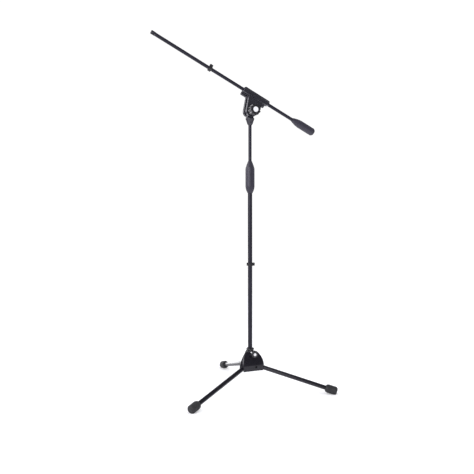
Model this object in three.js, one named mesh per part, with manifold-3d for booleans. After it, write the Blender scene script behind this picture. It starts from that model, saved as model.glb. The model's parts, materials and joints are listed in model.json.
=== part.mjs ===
// Boom microphone stand: a folding tripod, a two-part telescopic pole and a boom that tilts and slides.
// Millimetres, +Z up, with the rear leg towards +Y and the boom's tip towards -X. The model is drawn round the
// pole's axis, and the whole stand is then moved so that the origin is on the floor in the middle of its outline.
import * as THREE from "three";
import { mergeVertices } from "three/addons/utils/BufferGeometryUtils.js";
import Module from "manifold-3d";

const wasm = await Module();
wasm.setup();

// ---------------------------------------------------------------- driving dimensions
const WALL = 1.2; // wall of every steel tube
const RUNNING_GAP = 0.25; // radial gap between pieces that slide, turn or press together
const ROUND = 20; // facets round a tube
const SMALL_ROUND = 12; // facets round a pin or a screw
const LARGE_ROUND = 24; // facets round the knobs' caps, grips and feet

// Tripod
const LEG_RADIUS = 9;
const PIVOT_REACH = 30; // leg pivot from the pole axis
const PIVOT_HEIGHT = 106;
const FOOT_REACH = 342.5; // middle of a foot from the pole axis
const FOOT_HEIGHT = 17.4;
const FOOT_RADIUS = 17.6;
const FOOT_LENGTH = 49;
const LEG_NAMES = ["rear", "front_left", "front_right"];
const FIRST_LEG_AZIMUTH = 90;

// Hub
const HUB_BOTTOM = 89;
const HUB_TOP = 166; // where the dome is cut flat
const HUB_REACH = 62; // how far a ridge reaches over its leg, at the bottom
const CROWN_RADIUS = 17; // what the dome's sides close in to, at the crown's height
const CROWN_HEIGHT = 171;
const PANEL_REACH = 38; // flat panel between two ridges, from the pole axis
const PANEL_SKIRT = 0.28; // share of the height over which a panel stands upright
const RIDGE_HALF_WIDTH = 14; // below its shoulder
const RIDGE_SHOULDER = 0.3; // share of the height above which a ridge narrows
const RIDGE_CROWN_HALF = 3;
const NECK_RADIUS = 13.5;
const NECK_TOP = 169.5;
const COLLAR_RADIUS = 16.6;
const COLLAR_TOP = 180;
const KNOB_HEIGHT = 164; // axis of the base clamp knob
const BASE_KNOB_RADIUS = 13.5;
const BASE_KNOB_FRONT = 56; // front of the knob's grip, from the pole axis
const BASE_KNOB_DEPTH = 12;

// Pole
const LOWER_RADIUS = 9.3;
const UPPER_RADIUS = 6.95;
const LOWER_BOTTOM = 95;
const LOWER_TOP = 925;
const UPPER_BOTTOM = 340;
const UPPER_TOP = 1145;
const GRIP_BOTTOM = 839;
const GRIP_TOP = 973;
const GRIP_RADIUS = 19.2;
const POLE_CLIP_HEIGHT = 538;
const POLE_CLIP_AZIMUTH = 340;

// Head and boom. The head's own X runs towards the boom's tip and its own Y along the tilt bolt.
const SOCKET_BOTTOM = 1122.5;
const TILT_HEIGHT = 1179;
const BOOM_AZIMUTH = 183.3;
const BOOM_PITCH = 25.55;
const BOOM_RADIUS = 6.9;
const BOOM_OFFSET = 67.6; // boom axis above the tilt axis
const TIP_REACH = 498.3; // along the boom from the tilt axis
const TAIL_REACH = 308.5;
const BOOM_CLIP_REACH = 229;
const TONGUE_HALF = 5.5; // half thickness of the head's tongue
const TONGUE_RADIUS = 20.5;
const BAR_FRONT = 65; // clamp bar, along the boom
const BAR_BACK = 60.5;
const BAR_ABOVE = 10.3; // clamp bar above the boom axis
const BAR_BELOW = 12;
const BAR_HALF = 14; // half width of the clamp bar
const TILT_KNOB_RADIUS = 23.5;
const TILT_CAP_FACE = 62.6; // outermost point of the tilt knob's cap

const LEG_SLOPE = Math.atan2(PIVOT_HEIGHT - FOOT_HEIGHT, FOOT_REACH - PIVOT_REACH);
const LEG_LENGTH = Math.hypot(PIVOT_HEIGHT - FOOT_HEIGHT, FOOT_REACH - PIVOT_REACH); // pivot to foot middle
const radians = THREE.MathUtils.degToRad;

// ---------------------------------------------------------------- finishes
const finish = (color, roughness, metalness) => () =>
  new THREE.MeshStandardMaterial({ color, roughness, metalness });
const GLOSS_BLACK = finish(0x1c1a20, 0.25, 0.4);
const TUBE_BLACK = finish(0x2c2a33, 0.35, 0.5);
const CAST_BLACK = finish(0x24222a, 0.4, 0.5);
const BLACK_PLASTIC = finish(0x26242c, 0.5, 0);
const WHITE_PLASTIC = finish(0xf2f2f2, 0.35, 0);
const GREY_PLASTIC = finish(0x9a98a2, 0.5, 0);
const RUBBER = finish(0x2e2d31, 0.8, 0);
const CHROME = finish(0xd8d8dc, 0.15, 1);
const STEEL = finish(0x9fa0a6, 0.35, 1);
const BRASS = finish(0xb8923e, 0.35, 1);

// ---------------------------------------------------------------- shape helpers
function toSolid(geometry) {
  const bare = geometry.clone();
  bare.deleteAttribute("normal");
  bare.deleteAttribute("uv");
  const merged = mergeVertices(bare, 1e-3);
  const vertProperties = merged.attributes.position.array;
  const triVerts = new Uint32Array(merged.index.array);
  return new wasm.Manifold(new wasm.Mesh({ numProp: 3, vertProperties, triVerts }));
}

function toGeometry(solid) {
  const mesh = solid.getMesh();
  const geometry = new THREE.BufferGeometry();
  geometry.setAttribute("position", new THREE.BufferAttribute(new Float32Array(mesh.vertProperties), 3));
  geometry.setIndex(new THREE.BufferAttribute(new Uint32Array(mesh.triVerts), 1));
  geometry.computeVertexNormals();
  return geometry;
}

const joined = (first, ...rest) =>
  toGeometry(rest.reduce((solid, geometry) => solid.add(toSolid(geometry)), toSolid(first)));

const carved = (body, ...tools) =>
  toGeometry(tools.reduce((solid, geometry) => solid.subtract(toSolid(geometry)), toSolid(body)));

// Turns an outline of [radius, height] points round Z. It starts and ends on the axis, or closes into a ring.
function turned(outline, segments = ROUND) {
  const onAxis = outline[0][0] === 0;
  const loop = onAxis ? outline : [...outline, outline[0]];
  const points = loop.map(([r, z]) => new THREE.Vector2(r, z));
  if (THREE.ShapeUtils.area(points) < 0) points.reverse();
  return new THREE.LatheGeometry(points, segments).rotateX(Math.PI / 2);
}

const rod = (radius, from, to, segments = ROUND) =>
  turned([[0, from], [radius, from], [radius, to], [0, to]], segments);

const pipe = (inner, outer, from, to, segments = ROUND) =>
  turned([[inner, from], [outer, from], [outer, to], [inner, to]], segments);

const towardsX = (geometry) => geometry.rotateY(Math.PI / 2); // Z becomes X
const towardsY = (geometry) => geometry.rotateX(-Math.PI / 2); // Z becomes Y

// A box given by its lowest and highest corners.
function block(low, high) {
  const size = high.map((value, i) => value - low[i]);
  const middle = high.map((value, i) => (value + low[i]) / 2);
  return new THREE.BoxGeometry(...size).translate(...middle);
}

// A flat shape in the XZ plane with its thickness along Y, between two Y values in either order.
function plate(shape, y1, y2) {
  const depth = Math.abs(y2 - y1);
  const flat = new THREE.ExtrudeGeometry(shape, { depth, bevelEnabled: false });
  return flat.rotateX(Math.PI / 2).translate(0, Math.max(y1, y2), 0);
}

function polygon(points) {
  return new THREE.Shape(points.map(([x, y]) => new THREE.Vector2(x, y)));
}

// A fluted hand knob along Z, with chamfered ends.
function flutedKnob(radius, depth, lobes, from, to) {
  const chamfer = 1.5;
  const steps = lobes * 6;
  const points = [];
  for (let i = 0; i < steps; i++) {
    const angle = (i / steps) * 2 * Math.PI;
    const valley = Math.pow(0.5 - 0.5 * Math.cos(lobes * angle), 2);
    const r = radius - chamfer - depth * valley;
    points.push([r * Math.cos(angle), r * Math.sin(angle)]);
  }
  return new THREE.ExtrudeGeometry(polygon(points), {
    depth: to - from - 2 * chamfer,
    bevelThickness: chamfer,
    bevelSize: chamfer,
    bevelSegments: 1,
  }).translate(0, 0, from + chamfer);
}

// A press-in knob cap with a domed face, along Z.
function domedCap(radius, from, to, domeHeight) {
  const outline = [[0, from], [radius, from], [radius, to - domeHeight]];
  const steps = 3;
  for (let i = 1; i <= steps; i++) {
    const angle = (i / steps) * (Math.PI / 2);
    outline.push([i === steps ? 0 : radius * Math.cos(angle), to - domeHeight * (1 - Math.sin(angle))]);
  }
  return turned(outline);
}

function named(name, geometry, material) {
  const mesh = new THREE.Mesh(geometry, material());
  mesh.name = name;
  return mesh;
}

// ---------------------------------------------------------------- tripod hub
// How far the hub reaches at an angle from its nearest leg, for a height from 0 at the bottom to 1 at the crown.
function hubReach(angleFromLeg, height) {
  const ridge = CROWN_RADIUS + (HUB_REACH - CROWN_RADIUS) * Math.pow(1 - Math.pow(height, 2.6), 0.72);
  const lean = Math.pow(Math.max(0, height - PANEL_SKIRT) / (1 - PANEL_SKIRT), 1.3);
  const panel = PANEL_REACH + (CROWN_RADIUS - PANEL_REACH) * lean;
  const narrowing = Math.max(0, height - RIDGE_SHOULDER) / (1 - RIDGE_SHOULDER);
  const half = THREE.MathUtils.lerp(RIDGE_HALF_WIDTH, RIDGE_CROWN_HALF, narrowing);
  const along = Math.pow(Math.abs(Math.cos(angleFromLeg)) / ridge, 4);
  const across = Math.pow(Math.abs(Math.sin(angleFromLeg)) / half, 4);
  const ridgeReach = Math.pow(along + across, -0.25);
  const panelReach = panel / Math.cos(Math.PI / 3 - Math.abs(angleFromLeg));
  const blend = 9;
  const body = Math.pow(Math.pow(ridgeReach, blend) + Math.pow(panelReach, blend), 1 / blend);
  const end = ridge / Math.cos(angleFromLeg); // the ridge ends square to its leg
  const trim = -12;
  return Math.pow(Math.pow(body, trim) + Math.pow(end, trim), 1 / trim);
}

function hubDome() {
  const columns = 60;
  const top = (HUB_TOP - HUB_BOTTOM) / (CROWN_HEIGHT - HUB_BOTTOM);
  const rows = [0, 0.03, PANEL_SKIRT, 0.45, 0.6, 0.75, 0.87, top];
  const positions = [];
  const index = [];
  for (const height of rows) {
    const edge = height === 0 ? 1.5 : 0; // small chamfer round the bottom
    for (let i = 0; i < columns; i++) {
      const angle = (i / columns) * 2 * Math.PI;
      const fromLeg = THREE.MathUtils.euclideanModulo(angle - radians(30), (2 * Math.PI) / 3) - Math.PI / 3;
      const reach = hubReach(fromLeg, height) - edge;
      const z = THREE.MathUtils.lerp(HUB_BOTTOM, CROWN_HEIGHT, height);
      positions.push(reach * Math.cos(angle), reach * Math.sin(angle), z);
    }
  }
  for (let row = 0; row + 1 < rows.length; row++) {
    for (let i = 0; i < columns; i++) {
      const a = row * columns + i;
      const b = row * columns + ((i + 1) % columns);
      index.push(a, b, b + columns, a, b + columns, a + columns);
    }
  }
  const bottomMiddle = positions.length / 3;
  positions.push(0, 0, HUB_BOTTOM, 0, 0, HUB_TOP);
  const lastRow = (rows.length - 1) * columns;
  for (let i = 0; i < columns; i++) {
    const next = (i + 1) % columns;
    index.push(bottomMiddle, next, i);
    index.push(bottomMiddle + 1, lastRow + i, lastRow + next);
  }
  const geometry = new THREE.BufferGeometry();
  geometry.setAttribute("position", new THREE.Float32BufferAttribute(positions, 3));
  geometry.setIndex(index);
  return geometry;
}

const SLOT_HALF = LEG_RADIUS + 1; // half width of the slot that each leg folds through
const SLOT_ROUND = LEG_RADIUS + 0.9; // rounded end of the slot, about the pivot
const PIN_RADIUS = 2.5;
const PIN_HEAD_RADIUS = 3.6;
const PIN_HALF = 15.5;
const PIN_HEAD = 1.2;

// The slot is open below and outwards. Its roof is the stop that sets the open leg's slope.
function legSlot() {
  const depth = 60;
  const reach = 60;
  const normal = Math.PI / 2 - LEG_SLOPE;
  const shape = new THREE.Shape();
  shape.moveTo(-SLOT_ROUND, -depth);
  shape.lineTo(-SLOT_ROUND, 0);
  shape.absarc(0, 0, SLOT_ROUND, Math.PI, normal, true);
  const roofX = SLOT_ROUND * Math.cos(normal) + reach * Math.cos(LEG_SLOPE);
  shape.lineTo(roofX, SLOT_ROUND * Math.sin(normal) - reach * Math.sin(LEG_SLOPE));
  shape.lineTo(roofX, -depth);
  return plate(shape, -SLOT_HALF, SLOT_HALF);
}

const atPivot = (geometry, azimuth) =>
  geometry.translate(PIVOT_REACH, 0, PIVOT_HEIGHT).rotateZ(azimuth);

// A blind hole. The pin goes in from the clockwise side, where its head sits at the bottom of a counterbore.
function pinBore() {
  const hole = PIN_RADIUS + RUNNING_GAP;
  const counterbore = PIN_HEAD_RADIUS + RUNNING_GAP;
  const step = PIN_HALF - PIN_HEAD - RUNNING_GAP;
  const outside = PIN_HALF + 18;
  const end = PIN_HALF + RUNNING_GAP;
  const outline = [[0, -outside], [counterbore, -outside], [counterbore, -step], [hole, -step]];
  outline.push([hole, end], [0, end]);
  return towardsY(turned(outline, SMALL_ROUND));
}

const BUSH_RADIUS = 11.5;
const SCREW_RADIUS = 3.9;
const SHOE_BACK = 10.7; // where the clamp screw meets its shoe

function baseHub() {
  const body = joined(hubDome(), rod(NECK_RADIUS, HUB_TOP - 5, NECK_TOP, LARGE_ROUND));
  const bore = rod(BUSH_RADIUS + RUNNING_GAP, HUB_BOTTOM - 10, NECK_TOP + 10);
  const screwHole = towardsY(rod(SCREW_RADIUS + RUNNING_GAP, -60, 0, SMALL_ROUND)).translate(0, 0, KNOB_HEIGHT);
  const azimuths = LEG_NAMES.map((_, i) => legAzimuth(i));
  const slots = azimuths.map((azimuth) => atPivot(legSlot(), azimuth));
  const pinBores = azimuths.map((azimuth) => atPivot(pinBore(), azimuth));
  return carved(body, bore, screwHole, ...slots, ...pinBores);
}

function hubBush() {
  const window = towardsY(rod(SCREW_RADIUS + RUNNING_GAP, -20, 0, SMALL_ROUND)).translate(0, 0, KNOB_HEIGHT);
  return carved(pipe(LOWER_RADIUS + RUNNING_GAP, BUSH_RADIUS, HUB_BOTTOM + 6, NECK_TOP - 0.5), window);
}

// A flared cap on the hub's neck, which wipes the lower tube.
function hubCollar() {
  const bottom = NECK_TOP + RUNNING_GAP;
  const inner = LOWER_RADIUS + RUNNING_GAP;
  const outline = [[inner, bottom], [NECK_RADIUS - 0.6, bottom], [COLLAR_RADIUS, bottom + 4.3]];
  outline.push([COLLAR_RADIUS, COLLAR_TOP - 2.5], [COLLAR_RADIUS - 1.6, COLLAR_TOP], [inner, COLLAR_TOP]);
  return turned(outline, LARGE_ROUND);
}

function legPin() {
  const outline = [[0, -PIN_HALF], [PIN_HEAD_RADIUS, -PIN_HALF], [PIN_HEAD_RADIUS, PIN_HEAD - PIN_HALF]];
  outline.push([PIN_RADIUS, PIN_HEAD - PIN_HALF], [PIN_RADIUS, PIN_HALF], [0, PIN_HALF]);
  return towardsY(turned(outline, SMALL_ROUND));
}

// ---------------------------------------------------------------- legs
// A leg is drawn from its pivot: X runs down the leg, Y along the pin.
const KNUCKLE_LENGTH = 14.5;
const SPIGOT_LENGTH = 30;
const legAzimuth = (i) => radians(FIRST_LEG_AZIMUTH) + (i * 2 * Math.PI) / LEG_NAMES.length;

function legKnuckle() {
  const eye = towardsY(rod(LEG_RADIUS, -LEG_RADIUS, LEG_RADIUS));
  const shoulder = towardsX(rod(LEG_RADIUS - 0.2, 0, KNUCKLE_LENGTH));
  const spigotRadius = LEG_RADIUS - WALL - RUNNING_GAP;
  const spigot = towardsX(rod(spigotRadius, KNUCKLE_LENGTH - 1, KNUCKLE_LENGTH + SPIGOT_LENGTH));
  const pinHole = towardsY(rod(PIN_RADIUS + RUNNING_GAP, -20, 20, SMALL_ROUND));
  return carved(joined(eye, shoulder, spigot), pinHole);
}

const FOOT_POCKET = LEG_LENGTH + 12; // where the leg tube ends inside its foot

function legTube() {
  const start = KNUCKLE_LENGTH + RUNNING_GAP;
  return towardsX(pipe(LEG_RADIUS - WALL, LEG_RADIUS, start, FOOT_POCKET));
}

// A turned rubber shoe with a flat sole that lies on the floor when the leg is open.
function legFoot() {
  const start = LEG_LENGTH - FOOT_LENGTH / 2;
  const end = LEG_LENGTH + FOOT_LENGTH / 2;
  const pocket = LEG_RADIUS + RUNNING_GAP;
  const pocketEnd = FOOT_POCKET + RUNNING_GAP;
  const outline = [[0, pocketEnd], [pocket, pocketEnd], [pocket, start], [FOOT_RADIUS - 5, start]];
  outline.push([FOOT_RADIUS - 1.8, start + 4], [FOOT_RADIUS, start + 11], [FOOT_RADIUS, end - 8]);
  outline.push([FOOT_RADIUS - 1.6, end - 3.5], [FOOT_RADIUS - 5.5, end], [0, end]);
  const shoe = towardsX(turned(outline, LARGE_ROUND));
  const floor = block([FOOT_REACH - 80, -50, -50], [FOOT_REACH + 80, 50, 0]);
  floor.translate(-PIVOT_REACH, 0, -PIVOT_HEIGHT).rotateY(-LEG_SLOPE);
  return carved(shoe, floor);
}

function leg(i) {
  const turn = new THREE.Group();
  turn.rotation.z = legAzimuth(i);
  const open = new THREE.Group();
  open.position.set(PIVOT_REACH, 0, PIVOT_HEIGHT);
  open.rotation.y = LEG_SLOPE;
  open.add(named("leg_tube_" + LEG_NAMES[i], legTube(), GLOSS_BLACK));
  open.add(named("leg_knuckle_" + LEG_NAMES[i], legKnuckle(), CAST_BLACK));
  open.add(named("leg_foot_" + LEG_NAMES[i], legFoot(), RUBBER));
  const pin = named("leg_pin_" + LEG_NAMES[i], legPin(), CAST_BLACK);
  pin.position.set(PIVOT_REACH, 0, PIVOT_HEIGHT);
  turn.add(open, pin);
  return turn;
}

// ---------------------------------------------------------------- base clamp knob
// Drawn with its own Z pointing away from the pole.
function baseClamp() {
  const back = BASE_KNOB_FRONT - BASE_KNOB_DEPTH;
  const front = BASE_KNOB_FRONT;
  const screwEnd = front - 4;
  const capRadius = 6;
  const clamp = new THREE.Group();
  clamp.position.z = KNOB_HEIGHT;
  clamp.rotation.x = Math.PI / 2;
  const socket = rod(SCREW_RADIUS + RUNNING_GAP, back - 2, screwEnd + RUNNING_GAP, SMALL_ROUND);
  const recess = rod(capRadius + RUNNING_GAP, front - 2, front + 2);
  const grip = carved(flutedKnob(BASE_KNOB_RADIUS, 1.8, 8, back, front), socket, recess);
  const cap = domedCap(capRadius, front - 2 + RUNNING_GAP, front + 3, 2.2);
  clamp.add(named("base_knob_grip", grip, BLACK_PLASTIC));
  clamp.add(named("base_knob_cap", cap, WHITE_PLASTIC));
  clamp.add(named("base_clamp_screw", rod(SCREW_RADIUS, SHOE_BACK + 0.2, screwEnd, SMALL_ROUND), CHROME));
  const tubeGap = LOWER_RADIUS + RUNNING_GAP;
  clamp.add(named("base_clamp_shoe", rod(SCREW_RADIUS, tubeGap, SHOE_BACK, SMALL_ROUND), GREY_PLASTIC));
  return clamp;
}

// ---------------------------------------------------------------- pole
function lowerTubePlug() {
  const flange = 2.5;
  const insert = LOWER_RADIUS - WALL - RUNNING_GAP;
  const gap = 0.1;
  const outline = [[0, LOWER_BOTTOM - flange], [LOWER_RADIUS, LOWER_BOTTOM - flange]];
  outline.push([LOWER_RADIUS, LOWER_BOTTOM - gap], [insert, LOWER_BOTTOM - gap], [insert, LOWER_BOTTOM + 15]);
  outline.push([0, LOWER_BOTTOM + 15]);
  return turned(outline);
}

const HOUSING_RADIUS = 12.5;
const HOUSING_TOP = LOWER_TOP + 19;
const COLLET_RADIUS = 10.3;
const COLLET_TOP = LOWER_TOP + 29;
const COLLET_BOTTOM = LOWER_TOP + 5;

// The threaded sleeve on the lower tube's end. Its mouth is the cone that closes the collet.
function clutchHousing() {
  const bore = LOWER_RADIUS + 0.15;
  const mouth = COLLET_RADIUS + 0.6;
  const throat = UPPER_RADIUS + 1.3;
  const shoulder = LOWER_TOP + 0.3;
  const outline = [[bore, LOWER_TOP - 73], [HOUSING_RADIUS, LOWER_TOP - 73], [HOUSING_RADIUS, HOUSING_TOP]];
  outline.push([mouth, HOUSING_TOP], [throat, shoulder + 2.7], [throat, shoulder], [bore, shoulder]);
  return turned(outline);
}

// A split cone that the grip presses into the housing, so that it closes on the upper tube.
function clutchCollet() {
  const inner = UPPER_RADIUS + RUNNING_GAP;
  const outline = [[inner, COLLET_BOTTOM], [inner + 1, COLLET_BOTTOM], [COLLET_RADIUS, HOUSING_TOP + 1]];
  outline.push([COLLET_RADIUS, COLLET_TOP], [inner, COLLET_TOP]);
  return carved(turned(outline), block([0, -1, COLLET_BOTTOM - 5], [20, 1, COLLET_TOP + 5]));
}

function clutchGrip() {
  const lowerMouth = LOWER_RADIUS + 0.4;
  const upperMouth = UPPER_RADIUS + 0.5;
  const cavity = HOUSING_RADIUS + 0.5;
  const collar = COLLET_RADIUS + 0.5;
  const outline = [[lowerMouth, GRIP_BOTTOM], [11, GRIP_BOTTOM], [14, GRIP_BOTTOM + 6], [17.2, GRIP_BOTTOM + 15]];
  outline.push([GRIP_RADIUS, GRIP_BOTTOM + 26], [GRIP_RADIUS, GRIP_TOP - 33], [17.8, GRIP_TOP - 26]);
  outline.push([14.6, GRIP_TOP - 17], [10.8, GRIP_TOP - 7], [8.2, GRIP_TOP], [upperMouth, GRIP_TOP]);
  outline.push([upperMouth, COLLET_TOP + 2], [collar, COLLET_TOP + 2], [collar, HOUSING_TOP + 1.5]);
  outline.push([cavity, HOUSING_TOP + 1.5], [cavity, GRIP_BOTTOM + 10], [lowerMouth, GRIP_BOTTOM + 10]);
  return turned(outline, LARGE_ROUND);
}

// The cup on the upper tube's lower end, which runs inside the lower tube.
function upperTubeGuide() {
  const inner = UPPER_RADIUS + 0.15;
  const outer = LOWER_RADIUS - WALL - 0.2;
  const top = UPPER_BOTTOM + 22;
  const outline = [[0, UPPER_BOTTOM - 3], [outer, UPPER_BOTTOM - 3], [outer, top], [inner, top]];
  outline.push([inner, UPPER_BOTTOM - 0.3], [0, UPPER_BOTTOM - 0.3]);
  return turned(outline);
}

// A snap-on cable clip along Z: a split ring round the tube, with a lip on each side of its mouth, and a split
// loop beside it, towards +X.
function cableClip(tubeRadius) {
  const length = 13;
  const thickness = 3;
  const loopRadius = 5;
  const lipRadius = 2;
  const mouthHalf = tubeRadius * 0.55;
  const loopX = tubeRadius + thickness + loopRadius - 1.2;
  const ring = rod(tubeRadius + thickness, -length / 2, length / 2);
  const loop = rod(loopRadius, -length / 2, length / 2, SMALL_ROUND).translate(loopX, 0, 0);
  const bore = rod(tubeRadius + RUNNING_GAP, -length, length);
  const eye = rod(loopRadius - 1.8, -length, length, SMALL_ROUND).translate(loopX, 0, 0);
  const ringMouth = block([-2 * tubeRadius, -mouthHalf, -length], [0, mouthHalf, length]);
  const loopMouth = block([loopX, 0, -length], [loopX + 10, 3, length]);
  const open = carved(joined(ring, loop), bore, eye, ringMouth, loopMouth);
  const lip = (side) =>
    rod(lipRadius, -length / 2, length / 2, SMALL_ROUND)
      .translate(-tubeRadius - 1.5, side * (mouthHalf + lipRadius), 0);
  return joined(open, lip(1), lip(-1));
}

function pole() {
  const parts = new THREE.Group();
  parts.add(named("lower_tube", pipe(LOWER_RADIUS - WALL, LOWER_RADIUS, LOWER_BOTTOM, LOWER_TOP), TUBE_BLACK));
  parts.add(named("lower_tube_plug", lowerTubePlug(), BLACK_PLASTIC));
  parts.add(named("clutch_housing", clutchHousing(), CAST_BLACK));
  parts.add(named("clutch_collet", clutchCollet(), GREY_PLASTIC));
  parts.add(named("clutch_grip", clutchGrip(), BLACK_PLASTIC));
  parts.add(named("upper_tube_guide", upperTubeGuide(), GREY_PLASTIC));
  parts.add(named("upper_tube", pipe(UPPER_RADIUS - WALL, UPPER_RADIUS, UPPER_BOTTOM, UPPER_TOP), TUBE_BLACK));
  const clip = named("pole_cable_clip", cableClip(LOWER_RADIUS), BLACK_PLASTIC);
  clip.position.z = POLE_CLIP_HEIGHT;
  clip.rotation.z = radians(POLE_CLIP_AZIMUTH);
  parts.add(clip);
  return parts;
}

// ---------------------------------------------------------------- head
const BOLT_RADIUS = 4;
const SET_SCREW_RADIUS = 2.6;
const SET_SCREW_HEIGHT = 1141;
const CONE_TOP = TILT_HEIGHT - 26;
const CONE_RADIUS = 18.7;

// A cone that holds the upper tube, with a round tongue on top for the tilt bolt.
function headSocket() {
  const outline = [[0, SOCKET_BOTTOM], [8.8, SOCKET_BOTTOM], [12, SOCKET_BOTTOM + 6], [14.2, SOCKET_BOTTOM + 14]];
  outline.push([17, SOCKET_BOTTOM + 21], [CONE_RADIUS, CONE_TOP - 4.5], [CONE_RADIUS - 2, CONE_TOP], [0, CONE_TOP]);
  const cone = turned(outline, LARGE_ROUND);
  const neck = block([-14, -TONGUE_HALF, CONE_TOP - 3], [14, TONGUE_HALF, TILT_HEIGHT]);
  const disc = towardsY(rod(TONGUE_RADIUS, -TONGUE_HALF, TONGUE_HALF, LARGE_ROUND)).translate(0, 0, TILT_HEIGHT);
  const tubeBore = rod(UPPER_RADIUS + 0.15, SOCKET_BOTTOM - 5, UPPER_TOP + 1);
  const springBore = towardsY(rod(SPRING_RADIUS + SPRING_WIRE + 0.6, -20, 20)).translate(0, 0, TILT_HEIGHT);
  const screwHole = towardsX(rod(SET_SCREW_RADIUS + RUNNING_GAP, -30, 0, SMALL_ROUND));
  screwHole.translate(0, 0, SET_SCREW_HEIGHT);
  return carved(joined(cone, neck, disc), tubeBore, springBore, screwHole);
}

// A grub screw with a hexagon socket in its outer end.
function headSetScrew() {
  const inner = UPPER_RADIUS + RUNNING_GAP;
  const outer = 14;
  const key = rod(1.4, -outer - 1, -outer + 3, 6);
  const screw = carved(rod(SET_SCREW_RADIUS, -outer, -inner, SMALL_ROUND), key);
  return towardsX(screw).translate(0, 0, SET_SCREW_HEIGHT);
}

// ---------------------------------------------------------------- boom clamp
// Drawn from the tilt axis: X along the boom towards its tip, Y along the tilt bolt, Z square to both.
const WASHER_THICKNESS = 1.8;
const WASHER_FACE = TONGUE_HALF + 0.3;
const SHELL_INNER = WASHER_FACE + WASHER_THICKNESS + 0.3;
const WEB_OUTER = 16.5;
const RIM_OUTER = 20.5;
const BOSS_OUTER = 24.5;
const BAR_SPLIT = 0.6; // half of the gap between the two shells
const LINER_OUTER = BOOM_RADIUS + 1.9;
const WEB_RADIUS = 24.6;
const WEB_TOP = BOOM_OFFSET - BAR_BELOW + 1;
const WEB_CORNER = 46;
const WEB_FRONT = 37;
const WEB_BACK = 33;
const BEAD_RADIUS = 7; // the rear shell's round bead, under the bar
const BEAD_FRONT = 66;
const BEAD_BACK = 50;
const BEAD_DROP = 15.5; // below the boom axis
const BEAD_SET_BACK = 9.5;
const SPRING_RADIUS = 6;
const SPRING_WIRE = 0.9;

// The web: round about the tilt bolt, with straight sides that spread up to the bar.
function webShape(inset) {
  const r = WEB_RADIUS - inset;
  const tangent = (x, side) => {
    const reach = Math.hypot(x, WEB_CORNER);
    return Math.atan2(WEB_CORNER, x) + side * Math.acos(r / reach);
  };
  const front = WEB_FRONT - inset;
  const back = WEB_BACK - inset;
  const shape = new THREE.Shape();
  shape.moveTo(front, WEB_TOP - inset);
  shape.lineTo(-back, WEB_TOP - inset);
  shape.lineTo(-back, WEB_CORNER);
  shape.absarc(0, 0, r, tangent(-back, 1), tangent(front, -1) + 2 * Math.PI, false);
  shape.lineTo(front, WEB_CORNER);
  return shape;
}

// The bar's side: square towards the tip, with its corners cut off towards the tail.
function barShape() {
  const top = BOOM_OFFSET + BAR_ABOVE;
  const bottom = BOOM_OFFSET - BAR_BELOW;
  return polygon([
    [BAR_FRONT, bottom], [BAR_FRONT, top], [4 - BAR_BACK, top], [-BAR_BACK, top - 6],
    [-BAR_BACK, bottom + 6], [14 - BAR_BACK, bottom],
  ]);
}

// One half of the clamp, on the knob's side (+1) or the far side (-1).
function clampShell(side) {
  const top = BOOM_OFFSET + BAR_ABOVE;
  const bottom = BOOM_OFFSET - BAR_BELOW;
  const box = (x1, x2, y1, y2, z1, z2) =>
    block([x1, Math.min(side * y1, side * y2), z1], [x2, Math.max(side * y1, side * y2), z2]);
  const web = plate(webShape(0), side * SHELL_INNER, side * RIM_OUTER);
  const panel = plate(webShape(3), side * WEB_OUTER, side * (RIM_OUTER + 5));
  const boss = towardsY(rod(16, 10, BOSS_OUTER)).scale(1, side, 1);
  if (side < 0) boss.index.array.reverse();
  const bar = plate(barShape(), side * BAR_SPLIT, side * BAR_HALF);
  const shoulder = box(-WEB_BACK, WEB_FRONT, BAR_SPLIT, WEB_OUTER, WEB_CORNER, bottom + 1);
  const rimFace = BAR_HALF + 2.5;
  const upperRim = box(4 - BAR_BACK, BAR_FRONT, BAR_HALF - 1, rimFace, top - 5, top);
  const lowerRim = box(14 - BAR_BACK, BAR_FRONT, BAR_HALF - 1, rimFace, bottom, bottom + 4);
  const solid = [bar, shoulder, upperRim, lowerRim, boss];
  if (side < 0) solid.push(shellBead());
  const channel = towardsX(rod(LINER_OUTER + RUNNING_GAP, -100, 100)).translate(0, 0, BOOM_OFFSET);
  const boltHole = towardsY(rod(BOLT_RADIUS + RUNNING_GAP, -40, 40, SMALL_ROUND));
  return carved(joined(carved(web, panel), ...solid), channel, boltHole);
}

function shellBead() {
  const shoulder = BEAD_RADIUS - 2.5;
  const outline = [[0, -BEAD_BACK], [shoulder, -BEAD_BACK], [BEAD_RADIUS, 4 - BEAD_BACK]];
  outline.push([BEAD_RADIUS, BEAD_FRONT - 4], [shoulder, BEAD_FRONT], [0, BEAD_FRONT]);
  return towardsX(turned(outline)).translate(0, -BEAD_SET_BACK, BOOM_OFFSET - BEAD_DROP);
}

// A split plastic sleeve between the clamp's shells and the boom.
function clampLiner() {
  const sleeve = pipe(BOOM_RADIUS + RUNNING_GAP, LINER_OUTER, -BAR_BACK, BAR_FRONT);
  const slit = block([0, -0.8, -100], [LINER_OUTER + 1, 0.8, 100]);
  return towardsX(carved(sleeve, slit)).translate(0, 0, BOOM_OFFSET);
}

const BOLT_END = 45;

// A hexagon-head bolt through both shells and the tongue. The knob runs on its threaded end.
function tiltBolt() {
  const head = rod(7.5, -BOSS_OUTER - 5.5, -BOSS_OUTER - 0.3, 6);
  return towardsY(joined(head, rod(BOLT_RADIUS, -BOSS_OUTER - 1, BOLT_END, SMALL_ROUND)));
}

// The spring inside the tongue that opens the shells when the knob is slackened.
class Helix extends THREE.Curve {
  getPoint(t, target = new THREE.Vector3()) {
    const turns = 4;
    const half = SHELL_INNER - SPRING_WIRE - 0.3;
    const angle = t * turns * 2 * Math.PI;
    return target.set(SPRING_RADIUS * Math.cos(angle), SPRING_RADIUS * Math.sin(angle), half * (2 * t - 1));
  }
}

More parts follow.
